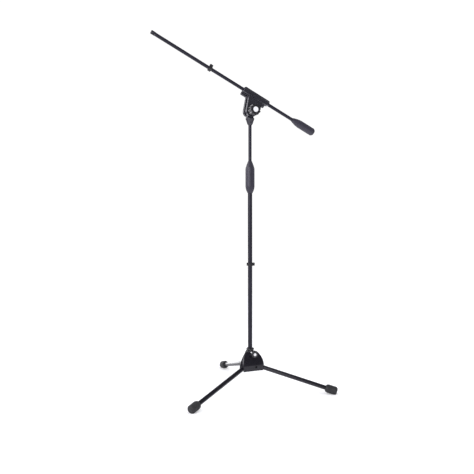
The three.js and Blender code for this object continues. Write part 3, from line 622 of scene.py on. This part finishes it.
def base_clamp():
    low, high = extent("base_knob_grip", BASE_CLAMP)
    screw_low, screw_high = extent("base_clamp_screw", BASE_CLAMP)
    cap_low, cap_high = extent("base_knob_cap", BASE_CLAMP)
    shoe_low, shoe_high = extent("base_clamp_shoe", BASE_CLAMP)
    radius = high.x
    socket = SCREW_RADIUS + RUNNING_GAP
    recess = cap_high.x + RUNNING_GAP
    seat = cap_low.z - RUNNING_GAP
    socket_end = screw_high.z + RUNNING_GAP
    outline = [(0, socket_end), (socket, socket_end), (socket, low.z, 0.4)]
    outline += [(radius - 1, low.z, 1.4), (radius, low.z + 4, 2), (radius, high.z, 2.2)]
    outline += [(recess, high.z, 0.4), (recess, seat), (0, seat)]
    lobes = 8
    grip = turned("grip", outline, 20 * lobes, flutes(lobes, 1.9, radius))
    piece("base_knob_grip", grip, BASE_CLAMP)
    piece("base_knob_cap", domed_cap(cap_high.x, cap_low.z, cap_high.z, dome=2.2), BASE_CLAMP)
    screw = threaded(SCREW_RADIUS, screw_low.z, screw_high.z, SCREW_PITCH, depth=0.55)
    piece("base_clamp_screw", screw, BASE_CLAMP)
    shoe = rod(shoe_high.x, shoe_low.z, shoe_high.z, edge=0.3)
    piece("base_clamp_shoe", shoe, BASE_CLAMP)


# ---------------------------------------------------------------- legs
def leg_knuckle(place):
    spigot_end = extent("leg_knuckle_rear", place)[1].x
    shoulder_end = extent("leg_tube_rear", place)[0].x - RUNNING_GAP
    eye = moved(rod(LEG_RADIUS, -LEG_RADIUS, LEG_RADIUS), TO_Y)
    shoulder = moved(rod(LEG_RADIUS - 0.2, 0, shoulder_end), TO_X)
    spigot = moved(rod(LEG_RADIUS - TUBE_WALL - RUNNING_GAP, shoulder_end - 1, spigot_end), TO_X)
    pin_hole = moved(rod(PIN_RADIUS + RUNNING_GAP, -20, 20, SMALL), TO_Y)
    return cast(carved(joined(eye, shoulder, spigot), pin_hole), voxel=0.4, smoothing=4)


def leg_foot(place):
    """A turned rubber shoe with a flat sole that lies on the floor when the leg is open."""
    low, high = extent("leg_foot_rear", place)
    tube_end = extent("leg_tube_rear", place)[1].x
    start, end = low.x, high.x
    radius = high.y
    pocket = LEG_RADIUS + RUNNING_GAP
    outline = [(0, tube_end + RUNNING_GAP), (pocket, tube_end + RUNNING_GAP), (pocket, start, 0.5)]
    outline += [(radius - 5, start, 2), (radius - 1.8, start + 4, 4), (radius, start + 11, 8)]
    groove = start + 15
    for _ in range(3):
        outline += [(radius, groove, 0.3), (radius - 0.6, groove + 0.5, 0.3)]
        outline += [(radius - 0.6, groove + 1.3, 0.3), (radius, groove + 1.8, 0.3)]
        groove += 5
    outline += [(radius, end - 6, 2), (radius - 5.5, end, 3), (0, end)]
    foot = moved(turned("foot", outline), TO_X)
    inverse = place.inverted()
    origin = inverse @ Vector((place.translation.x, place.translation.y, 0))
    down = (inverse.to_3x3() @ Vector((0, 0, -1))).normalized()
    work = bmesh.new()
    work.from_mesh(foot.data)
    geometry = work.verts[:] + work.edges[:] + work.faces[:]
    cut = bmesh.ops.bisect_plane(work, geom=geometry, plane_co=origin, plane_no=down, clear_outer=True)
    rim = [item for item in cut["geom_cut"] if isinstance(item, bmesh.types.BMEdge)]
    bmesh.ops.edgenet_fill(work, edges=rim)
    bmesh.ops.recalc_face_normals(work, faces=work.faces)
    work.to_mesh(foot.data)
    work.free()
    return foot


def legs():
    rear = leg_frame("rear")
    low, high = extent("leg_tube_rear", rear)
    tube = moved(pipe(LEG_RADIUS - TUBE_WALL, LEG_RADIUS, low.x, high.x, FINE), TO_X)
    knuckle = leg_knuckle(rear)
    foot = leg_foot(rear)
    for name in LEGS:
        place = leg_frame(name)
        piece("leg_tube_" + name, copied(tube), place)
        piece("leg_knuckle_" + name, copied(knuckle), place)
        piece("leg_foot_" + name, copied(foot), place)
    for pattern in (tube, knuckle, foot):
        bpy.data.objects.remove(pattern)


# ---------------------------------------------------------------- pole
def pole_tubes():
    low, high = extent("lower_tube", POLE)
    piece("lower_tube", pipe(LOWER_RADIUS - TUBE_WALL, LOWER_RADIUS, low.z, high.z, FINE), POLE)
    low, high = extent("upper_tube", POLE)
    piece("upper_tube", pipe(UPPER_RADIUS - TUBE_WALL, UPPER_RADIUS, low.z, high.z, FINE), POLE)

    low, high = extent("lower_tube_plug", POLE)
    insert = LOWER_RADIUS - TUBE_WALL - RUNNING_GAP
    flange = extent("lower_tube", POLE)[0].z - 0.1
    outline = [(0, low.z), (LOWER_RADIUS, low.z, 1), (LOWER_RADIUS, flange, 0.2), (insert, flange)]
    outline += [(insert, high.z, 1), (0, high.z)]
    piece("lower_tube_plug", turned("plug", outline, MEDIUM), POLE)

    low, high = extent("upper_tube_guide", POLE)
    inner = UPPER_RADIUS + TIGHT_GAP
    floor = extent("upper_tube", POLE)[0].z - 0.3
    outline = [(0, low.z), (high.x, low.z, 1), (high.x, high.z, 0.4), (inner, high.z, 0.2), (inner, floor)]
    outline.append((0, floor))
    piece("upper_tube_guide", turned("guide", outline, MEDIUM), POLE)


def clutch():
    tube_top = extent("lower_tube", POLE)[1].z
    low, high = extent("clutch_housing", POLE)
    bore = LOWER_RADIUS + TIGHT_GAP
    collet_low, collet_high = extent("clutch_collet", POLE)
    mouth = collet_high.y + 0.6
    throat = UPPER_RADIUS + 1.3
    shoulder = tube_top + 0.3
    outline = [(bore, low.z, 0.3), (high.x, low.z, 0.8), (high.x, high.z, 0.4), (mouth, high.z, 0.2)]
    outline += [(throat, shoulder + 2.7), (throat, shoulder), (bore, shoulder)]
    piece("clutch_housing", turned("housing", outline, MEDIUM), POLE)

    inner = UPPER_RADIUS + RUNNING_GAP
    outline = [(inner, collet_low.z), (inner + 1, collet_low.z), (collet_high.y, high.z + 1)]
    outline += [(collet_high.y, collet_high.z, 0.4), (inner, collet_high.z, 0.3)]
    slit = block((0, -1, collet_low.z - 5), (20, 1, collet_high.z + 5))
    piece("clutch_collet", carved(turned("collet", outline, MEDIUM), slit), POLE)

    housing_radius, housing_top = high.x, high.z
    low, high = extent("clutch_grip", POLE)
    lower_mouth = LOWER_RADIUS + 0.4
    upper_mouth = UPPER_RADIUS + 0.5
    cavity = housing_radius + 0.5
    collar = collet_high.y + 0.5
    bottom, top, radius = low.z, high.z, high.x
    outline = [(lower_mouth, bottom, 0.3), (11, bottom, 1), (14, bottom + 6, 12), (17.2, bottom + 15, 14)]
    outline += [(radius, bottom + 26, 20), (radius, top - 33, 16), (17.8, top - 26, 12)]
    outline += [(14.6, top - 17, 14), (10.8, top - 7, 12), (8.2, top, 0.6), (upper_mouth, top, 0.3)]
    outline += [(upper_mouth, collet_high.z + 2), (collar, collet_high.z + 2), (collar, housing_top + 1.5)]
    outline += [(cavity, housing_top + 1.5), (cavity, bottom + 10), (lower_mouth, bottom + 10)]
    piece("clutch_grip", turned("grip", outline), POLE)


def arc(x, y, radius, first, last, steps=24):
    angles = [first + (last - first) * step / steps for step in range(steps + 1)]
    return [(x + radius * math.cos(angle), y + radius * math.sin(angle)) for angle in angles]


def cable_clip(tube_radius, length):
    """A snap-on clip along Z: a split ring round the tube, with a lip on each side of its mouth, and a
    split loop beside it, towards +X. The outline starts at the mouth and goes round the bore first."""
    inner = tube_radius + RUNNING_GAP
    outer = tube_radius + 3
    loop = 5
    eye = loop - 1.8
    loop_x = outer + loop - 1.2
    lip = 2
    lip_x = -tube_radius - 1.5
    mouth = tube_radius * 0.55
    lip_y = mouth + lip
    slot = 3  # the loop's own mouth lies between its middle and this
    lip_distance = math.hypot(lip_x, lip_y)
    overlap = math.acos((lip_distance ** 2 + outer ** 2 - lip ** 2) / (2 * lip_distance * outer))
    ring_end = math.atan2(lip_y, lip_x) - overlap
    lip_end = math.atan2(outer * math.sin(ring_end) - lip_y, outer * math.cos(ring_end) - lip_x)
    ring_join = math.acos((loop_x ** 2 + outer ** 2 - loop ** 2) / (2 * loop_x * outer))
    loop_join = math.pi - math.acos((loop_x ** 2 + loop ** 2 - outer ** 2) / (2 * loop_x * loop))
    bore_end = math.pi - math.asin(mouth / inner)
    quarter = math.pi / 2
    outline = arc(0, 0, inner, -bore_end, bore_end, 64)
    outline += arc(lip_x, lip_y, lip, 3 * quarter, lip_end)
    outline += arc(0, 0, outer, ring_end, ring_join, 40)[1:]
    outline += arc(loop_x, 0, loop, loop_join, math.asin(slot / loop))[1:]
    outline += arc(loop_x, 0, eye, math.asin(slot / eye), 4 * quarter, 32)
    outline += arc(loop_x, 0, loop, 0, -loop_join)
    outline += arc(0, 0, outer, -ring_join, -ring_end, 40)[1:]
    outline += arc(lip_x, -lip_y, lip, -lip_end, -3 * quarter)[1:]
    return cast(moved(slab(outline, -length / 2, length / 2), TO_Y), voxel=0.3, smoothing=3)


def cable_clips():
    low, high = extent("pole_cable_clip", POLE)
    box_low, box_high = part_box("pole_cable_clip")
    loop = (box_low + box_high) / 2 - Vector((POLE_X, POLE_Y, 0))
    middle = (POLE_X, POLE_Y, (low.z + high.z) / 2 * MM)
    towards_loop = local_frame(middle, (loop.x, loop.y, 0), (-loop.y, loop.x, 0))
    piece("pole_cable_clip", cable_clip(LOWER_RADIUS, high.z - low.z), towards_loop)
    low, high = extent("boom_cable_clip", BOOM)
    clip = cable_clip(BOOM_RADIUS, high.z - low.z)
    upwards = Matrix.Translation((0, 0, (low.z + high.z) / 2)) @ Matrix.Rotation(math.pi, 4, "Z")
    piece("boom_cable_clip", clip, BOOM @ upwards)


# ---------------------------------------------------------------- head
TONGUE_LOW, TONGUE_HIGH = extent("head_socket", HEAD)
TONGUE_RADIUS = TONGUE_HIGH.z
TONGUE_HALF = 5.5
SPRING_RADIUS = 6
SPRING_WIRE = 0.9
SPRING_BORE = SPRING_RADIUS + SPRING_WIRE + 0.6


def head_socket():
    """A cone that holds the upper tube, with a round tongue on top for the tilt bolt."""
    bottom = TONGUE_LOW.z
    top = -26
    outline = [(0, bottom), (8.8, bottom, 0.8), (12, bottom + 6, 6), (14.2, bottom + 14, 8)]
    outline += [(17, bottom + 21, 6), (18.7, top - 4.5, 1.5), (16.7, top, 1), (0, top)]
    cone = turned("cone", outline)
    neck_half = 14
    neck = block((-neck_half, -TONGUE_HALF, top - 3), (neck_half, TONGUE_HALF, 0))
    disc = moved(rod(TONGUE_RADIUS, -TONGUE_HALF, TONGUE_HALF, FINE), TO_Y)
    tube_top = extent("upper_tube", HEAD)[1].z
    tube_bore = rod(UPPER_RADIUS + TIGHT_GAP, bottom - 5, tube_top + 1)
    spring_bore = moved(rod(SPRING_BORE, -20, 20), TO_Y)
    screw_low, screw_high = extent("head_set_screw", HEAD)
    screw_radius = screw_high.y
    screw_z = (screw_low.z + screw_high.z) / 2
    screw_hole = shifted(moved(rod(screw_radius + RUNNING_GAP, -30, 0, SMALL), TO_X), z=screw_z)
    body = carved(joined(cone, neck, disc), tube_bore, spring_bore, screw_hole)
    piece("head_socket", cast(body, voxel=0.45), HEAD)
    hexagonal_key = rod(1.4, screw_low.x - 1, screw_low.x + 3, segments=6)
    screw = carved(rod(screw_radius, screw_low.x, screw_high.x, SMALL, 0.3), hexagonal_key)
    piece("head_set_screw", shifted(moved(screw, TO_X), z=screw_z), HEAD)


# ---------------------------------------------------------------- boom clamp
# Drawn from the tilt axis: X along the boom towards its tip, Y along the tilt bolt.
SHELL_LOW, SHELL_HIGH = extent("clamp_shell_front", CLAMP)
LINER_LOW, LINER_HIGH = extent("clamp_liner", CLAMP)
BOLT_RADIUS = 4
BOLT_PITCH = 1.25
WASHER_FACE = TONGUE_HALF + 0.3
WASHER_THICKNESS = 1.8
SHELL_INNER = WASHER_FACE + WASHER_THICKNESS + 0.3
WEB_OUTER = 16.5
WEB_RIM = 3
RIM_OUTER = 20.5
BOSS_RADIUS = 16
BOSS_INNER = 10
BOSS_OUTER = SHELL_HIGH.y
BAR_SPLIT = 0.6
BAR_HALF = 14
BAR_RIM = 2.5
BAR_CHAMFER = 4  # at the back of the bar's top
BAR_SLANT = 14  # at the back of its underside
BAR_FRONT = SHELL_HIGH.x
BAR_BACK = -SHELL_LOW.x
BAR_TOP = SHELL_HIGH.z
BAR_BOTTOM = BOOM_OFFSET - 12
WEB_RADIUS = -SHELL_LOW.z
WEB_CORNER = 46
WEB_FRONT = 37
WEB_BACK = 33
BEAD_RADIUS = 7  # the rear shell's round bead, under the bar
BEAD_FRONT = extent("clamp_shell_rear", CLAMP)[1].x
BEAD_BACK = -50
BEAD_DROP = 15.5
BEAD_SET_BACK = 9.5


def web_outline(inset):
    """Round about the tilt bolt, with straight sides that spread up to the bar."""
    radius = WEB_RADIUS - inset
    front = WEB_FRONT - inset
    back = WEB_BACK - inset
    top = BAR_BOTTOM + 1 - inset

    def tangent(x, side):
        return math.atan2(WEB_CORNER, x) + side * math.acos(radius / math.hypot(x, WEB_CORNER))

    first = tangent(-back, 1)
    last = tangent(front, -1) + 2 * math.pi
    steps = 40
    outline = [(front, top), (-back, top), (-back, WEB_CORNER)]
    for step in range(steps + 1):
        angle = first + (last - first) * step / steps
        outline.append((radius * math.cos(angle), radius * math.sin(angle)))
    outline.append((front, WEB_CORNER))
    return outline


def clamp_shell(node, side):
    """One half of the clamp, on the knob's side (+1) or the far side (-1)."""
    def between(y1, y2):
        return sorted((side * y1, side * y2))

    def box(x1, x2, y1, y2, z1, z2):
        low, high = between(y1, y2)
        return block((x1, low, z1), (x2, high, z2))

    web = slab(web_outline(0), *between(SHELL_INNER, RIM_OUTER))
    web = carved(web, slab(web_outline(WEB_RIM), *between(WEB_OUTER, RIM_OUTER + 5)))
    boss = moved(rod(BOSS_RADIUS, *between(BOSS_INNER, BOSS_OUTER), FINE), TO_Y)
    chamfer_start = BAR_CHAMFER - BAR_BACK
    slant_start = BAR_SLANT - BAR_BACK
    bar_side = [(BAR_FRONT, BAR_BOTTOM), (BAR_FRONT, BAR_TOP), (chamfer_start, BAR_TOP)]
    bar_side += [(-BAR_BACK, BAR_TOP - 6), (-BAR_BACK, BAR_BOTTOM + 6), (slant_start, BAR_BOTTOM)]
    bar = slab(bar_side, *between(BAR_SPLIT, BAR_HALF))
    shoulder = box(-WEB_BACK, WEB_FRONT, BAR_SPLIT, WEB_OUTER, WEB_CORNER, BAR_BOTTOM + 1)
    rim_outer = BAR_HALF + BAR_RIM
    upper_rim = box(chamfer_start, BAR_FRONT, BAR_HALF - 1, rim_outer, BAR_TOP - 5, BAR_TOP)
    lower_rim = box(slant_start, BAR_FRONT, BAR_HALF - 1, rim_outer, BAR_BOTTOM, BAR_BOTTOM + 4)
    extra = [bar, shoulder, upper_rim, lower_rim, boss]
    if side < 0:
        bead = moved(rod(BEAD_RADIUS, BEAD_BACK, BEAD_FRONT, FINE, edge=4), TO_X)
        extra.append(shifted(bead, y=-BEAD_SET_BACK, z=BOOM_OFFSET - BEAD_DROP))
    channel = shifted(moved(rod(LINER_HIGH.y + RUNNING_GAP, -100, 100), TO_X), z=BOOM_OFFSET)
    bolt_hole = moved(rod(BOLT_RADIUS + RUNNING_GAP, -40, 40, SMALL), TO_Y)
    shell = carved(joined(web, *extra), channel, bolt_hole)
    piece(node, cast(shell, voxel=0.65), CLAMP)


def clamp_fittings():
    sleeve = pipe(BOOM_RADIUS + RUNNING_GAP, LINER_HIGH.y, LINER_LOW.x, LINER_HIGH.x, FINE)
    slit = block((0, -0.8, -200), (20, 0.8, 200))
    piece("clamp_liner", carved(sleeve, slit), BOOM)
    piece("tilt_bolt", tilt_bolt(), BOLT)
    for name in ("friction_washer_front", "friction_washer_rear"):
        low, high = extent(name, BOLT)
        piece(name, pipe(SPRING_BORE, high.x, low.z, high.z, FINE), BOLT)
    piece("tilt_spring", tilt_spring(), BOLT)


def tilt_bolt():
    """A hexagon head behind the rear shell's boss, and a thread in front of the front one's."""
    low, high = extent("tilt_bolt", BOLT)
    head_radius = 7.5
    head_end = -BOSS_OUTER - 0.3
    thread_start = BOSS_OUTER + 0.5
    outline = [(0, low.z), (head_radius - 0.3, low.z, 0.6), (head_radius, low.z + 0.8)]
    outline += [(head_radius, head_end, 0.3), (BOLT_RADIUS, head_end)]
    outline += thread_side(BOLT_RADIUS, thread_start, high.z, BOLT_PITCH)
    outline.append((0, high.z))
    flats = hexagon(6.5)

    def relief(angle, z, r):
        if z < thread_start:
            return flats(angle, z, r)
        return -0.5 * thread_cut(angle, z, BOLT_PITCH)

    return turned("bolt", outline, 72, relief)


def tilt_spring():
    low, high = extent("tilt_spring", BOLT)
    turns = 4
    steps = 40 * turns
    sides = 12
    vertices = []
    for step in range(steps + 1):
        angle = 2 * math.pi * turns * step / steps
        out = Vector((math.cos(angle), math.sin(angle), 0))
        z = low.z + SPRING_WIRE + (high.z - low.z - 2 * SPRING_WIRE) * step / steps
        for side in range(sides):
            turn = 2 * math.pi * side / sides
            centre = out * (SPRING_RADIUS + SPRING_WIRE * math.cos(turn))
            vertices.append((centre.x, centre.y, z + SPRING_WIRE * math.sin(turn)))
    faces = [list(range(sides)), list(range(steps * sides, (steps + 1) * sides))[::-1]]
    for step in range(steps):
        for side in range(sides):
            a = step * sides + side
            b = step * sides + (side + 1) % sides
            faces.append([a, a + sides, b + sides, b])
    spring = mesh_object("spring", vertices, faces)
    outward(spring)
    return spring


def tilt_knob():
    low, high = extent("tilt_knob_grip", BOLT)
    cap_low, cap_high = extent("tilt_knob_cap", BOLT)
    insert_low, insert_high = extent("tilt_knob_insert", BOLT)
    radius = high.x
    bore = insert_high.x + RUNNING_GAP
    recess = cap_high.x + RUNNING_GAP
    seat = cap_low.z - RUNNING_GAP
    body = low.z + 4
    bore_end = insert_high.z + RUNNING_GAP
    outline = [(0, bore_end), (bore, bore_end), (bore, low.z, 0.3)]
    outline += [(11, low.z, 0.5), (13, body, 0.5), (radius - 1.5, body, 2), (radius, body + 5, 4)]
    outline += [(radius, high.z, 2.2), (recess + 2.2, high.z - 0.4, 0.5), (recess, high.z, 0.4)]
    outline += [(recess, seat), (0, seat)]
    lobes = 10
    grip = turned("grip", outline, 20 * lobes, flutes(lobes, 3.4, radius))
    piece("tilt_knob_grip", grip, BOLT)
    piece("tilt_knob_cap", domed_cap(cap_high.x, cap_low.z, cap_high.z, dome=4), BOLT)
    insert = pipe(BOLT_RADIUS + RUNNING_GAP, insert_high.x, insert_low.z, insert_high.z, MEDIUM)
    piece("tilt_knob_insert", insert, BOLT)


# ---------------------------------------------------------------- boom
TIP_PITCH = 25.4 / 27  # 27 threads to an inch
TIP_THREAD_LENGTH = 15.5


def boom_thread_tip(tube_end):
    """The plug in the boom's end, with its collar and the microphone thread."""
    low, high = extent("boom_thread_tip", BOOM)
    insert = BOOM_RADIUS - TUBE_WALL - RUNNING_GAP
    collar_radius = BOOM_RADIUS + 0.5
    collar_start = tube_end + 0.1
    shoulder = high.z - TIP_THREAD_LENGTH
    outline = [(0, low.z), (insert, low.z, 0.5), (insert, collar_start)]
    outline += [(collar_radius, collar_start, 0.2), (collar_radius, shoulder - 0.4)]
    outline += thread_side(high.x, shoulder, high.z - 1, TIP_PITCH)
    outline += [(high.x - 1, high.z, 0.3), (0, high.z)]

    def relief(angle, z, r):
        if z < shoulder + 0.5 or r < high.x - 0.1:
            return 0
        return -0.55 * thread_cut(angle, z, TIP_PITCH)

    return turned("tip", outline, 72, relief)


def boom():
    low, high = extent("boom_tube", BOOM)
    piece("boom_tube", pipe(BOOM_RADIUS - TUBE_WALL, BOOM_RADIUS, low.z, high.z, FINE), BOOM)
    piece("boom_thread_tip", boom_thread_tip(high.z), BOOM)


def counterweight():
    """A steel core inside the rear grip. The grip has one groove near its closed end."""
    core_low, core_high = extent("counterweight_core", BOOM)
    core = pipe(BOOM_RADIUS + RUNNING_GAP, core_high.x, core_low.z, core_high.z, FINE, 0.8)
    piece("counterweight_core", core, BOOM)

    low, high = extent("counterweight_grip", BOOM)
    radius = high.x
    front, back = high.z, low.z
    bore = BOOM_RADIUS + RUNNING_GAP
    cavity = core_high.x + RUNNING_GAP
    cavity_back = core_low.z - RUNNING_GAP
    cavity_front = core_high.z + RUNNING_GAP
    outline = [(0, cavity_back), (cavity, cavity_back), (cavity, cavity_front), (bore, cavity_front)]
    outline += [(bore, front, 0.3), (8.2, front, 0.6), (10.8, front - 8, 10), (14.8, front - 23, 16)]
    outline += [(radius, front - 41, 20), (radius, back + 16.5, 0.4), (radius - 0.6, back + 16, 0.3)]
    outline += [(radius - 0.6, back + 14.5, 0.3), (radius, back + 14, 0.4), (radius, back + 8, 4)]
    outline += [(radius - 4, back + 1.6, 4), (8, back, 4), (0, back)]
    piece("counterweight_grip", turned("grip", outline), BOOM)


# ---------------------------------------------------------------- the stand
hub()
hub_fittings()
base_clamp()
legs()
pole_tubes()
clutch()
cable_clips()
head_socket()
clamp_shell("clamp_shell_front", 1)
clamp_shell("clamp_shell_rear", -1)
clamp_fittings()
tilt_knob()
boom()
counterweight()


# ---------------------------------------------------------------- studio
CAMERA_OFFSET = Vector((-0.8548, -2.1607, 0.7636))  # from the foot of the pole
LOOK = Vector((0.3457, 0.9383, 0)).normalized()
CAMERA_PITCH = math.radians(-2.71)
CAMERA_ROLL = math.radians(-0.11)
LENS = 41.77
SENSOR = 36


def studio_camera():
    data = bpy.data.cameras.new("camera")
    camera = bpy.data.objects.new("camera", data)
    bpy.context.scene.collection.objects.link(camera)
    camera.location = Vector((POLE_X, POLE_Y, 0)) + CAMERA_OFFSET
    look = LOOK * math.cos(CAMERA_PITCH) + Vector((0, 0, math.sin(CAMERA_PITCH)))
    level = look.to_track_quat("-Z", "Y").to_matrix()
    camera.rotation_euler = (level @ Matrix.Rotation(CAMERA_ROLL, 3, "Z")).to_euler()
    data.lens = LENS
    data.sensor_width = SENSOR
    data.clip_end = 100
    bpy.context.scene.camera = camera


def softbox(name, azimuth, distance, low, high, width, strength, colour):
    """A soft light round the pole, at an angle in degrees from the camera's side towards its right. It
    only shows in reflections, so it throws no shadow on the floor."""
    towards = Matrix.Rotation(math.radians(azimuth), 4, "Z") @ -LOOK
    data = bpy.data.lights.new(name, "AREA")
    data.shape = "RECTANGLE"
    data.size = width
    data.size_y = high - low
    data.energy = strength * math.pi * width * (high - low)
    data.color = colour
    light = bpy.data.objects.new(name, data)
    bpy.context.scene.collection.objects.link(light)
    light.location = Vector((POLE_X, POLE_Y, (low + high) / 2)) + towards * distance
    light.rotation_euler = (-towards).to_track_quat("-Z", "Y").to_euler()
    light.visible_diffuse = False


def studio_floor():
    n = Nodes("studio_floor")
    tone = n.span(n.noise(3, 3.0), 0, 1)
    path = n.add("ShaderNodeLightPath")
    colour = n.mix(tone, (0.93, 0.93, 0.945), (0.945, 0.945, 0.955))
    colour = n.mix(path.outputs["Is Glossy Ray"], colour, (0.93, 0.93, 0.95))
    n.link(colour, n.shader.inputs["Base Color"])
    n.link(n.span(n.noise(40, 3.0), 0.1, 0.16), n.shader.inputs["Roughness"])
    n.shader.inputs["Specular IOR Level"].default_value = 0.12
    n.shader.inputs["Emission Color"].default_value = (1, 1, 1, 1)
    n.link(n.span(path.outputs["Is Camera Ray"], 0, 0.3, 0, 1), n.shader.inputs["Emission Strength"])
    reach = 2.4
    corners = [(-reach, -reach, 0), (reach, -reach, 0), (reach, reach, 0), (-reach, reach, 0)]
    floor = mesh_object("studio_floor", corners, [[0, 1, 2, 3]])
    floor.data.materials.append(n.material)


def studio_world():
    """White to the camera, and brighter behind the stand than at its sides in reflections."""
    world = bpy.data.worlds.new("studio")
    bpy.context.scene.world = world
    world.use_nodes = True
    tree = world.node_tree
    tree.nodes.clear()

    def background(colour, strength=1):
        node = add_node(tree, "ShaderNodeBackground")
        node.inputs["Color"].default_value = (*colour, 1)
        node.inputs["Strength"].default_value = strength
        return node

    def switched(ray, otherwise, seen):
        node = add_node(tree, "ShaderNodeMixShader")
        tree.links.new(path.outputs[ray], node.inputs["Fac"])
        tree.links.new(otherwise.outputs[0], node.inputs[1])
        tree.links.new(seen.outputs[0], node.inputs[2])
        return node

    geometry = add_node(tree, "ShaderNodeNewGeometry")
    facing = add_node(tree, "ShaderNodeVectorMath", operation="DOT_PRODUCT")
    facing.inputs[1].default_value = -LOOK
    tree.links.new(geometry.outputs["Incoming"], facing.inputs[0])
    ramp = add_node(tree, "ShaderNodeMapRange", interpolation_type="SMOOTHSTEP")
    for key, value in (("From Min", 0.2), ("From Max", 0.8), ("To Min", 0.1), ("To Max", 0.16)):
        ramp.inputs[key].default_value = value
    tree.links.new(facing.outputs["Value"], ramp.inputs["Value"])
    cool_white = (0.97, 0.97, 1)
    path = add_node(tree, "ShaderNodeLightPath")
    reflected = background(cool_white)
    tree.links.new(ramp.outputs["Result"], reflected.inputs["Strength"])
    lit = switched("Is Glossy Ray", background(cool_white, 1.2), reflected)
    shown = switched("Is Camera Ray", lit, background((1, 1, 1), 1.05))
    output = add_node(tree, "ShaderNodeOutputWorld")
    tree.links.new(shown.outputs[0], output.inputs["Surface"])


studio_camera()
studio_floor()
studio_world()
softbox("front_softbox", azimuth=-28, distance=3.2, low=0.8, high=2.8, width=3.4, strength=2.6,
        colour=(0.95, 0.93, 1))
softbox("left_panel", azimuth=-80, distance=2.2, low=1.1, high=2.8, width=7, strength=2.2,
        colour=(0.97, 0.96, 1))
softbox("low_panel", azimuth=-155, distance=3, low=0, high=0.4, width=1.7, strength=4.5,
        colour=(0.98, 0.98, 1))
bpy.context.scene.view_settings.view_transform = "Standard"
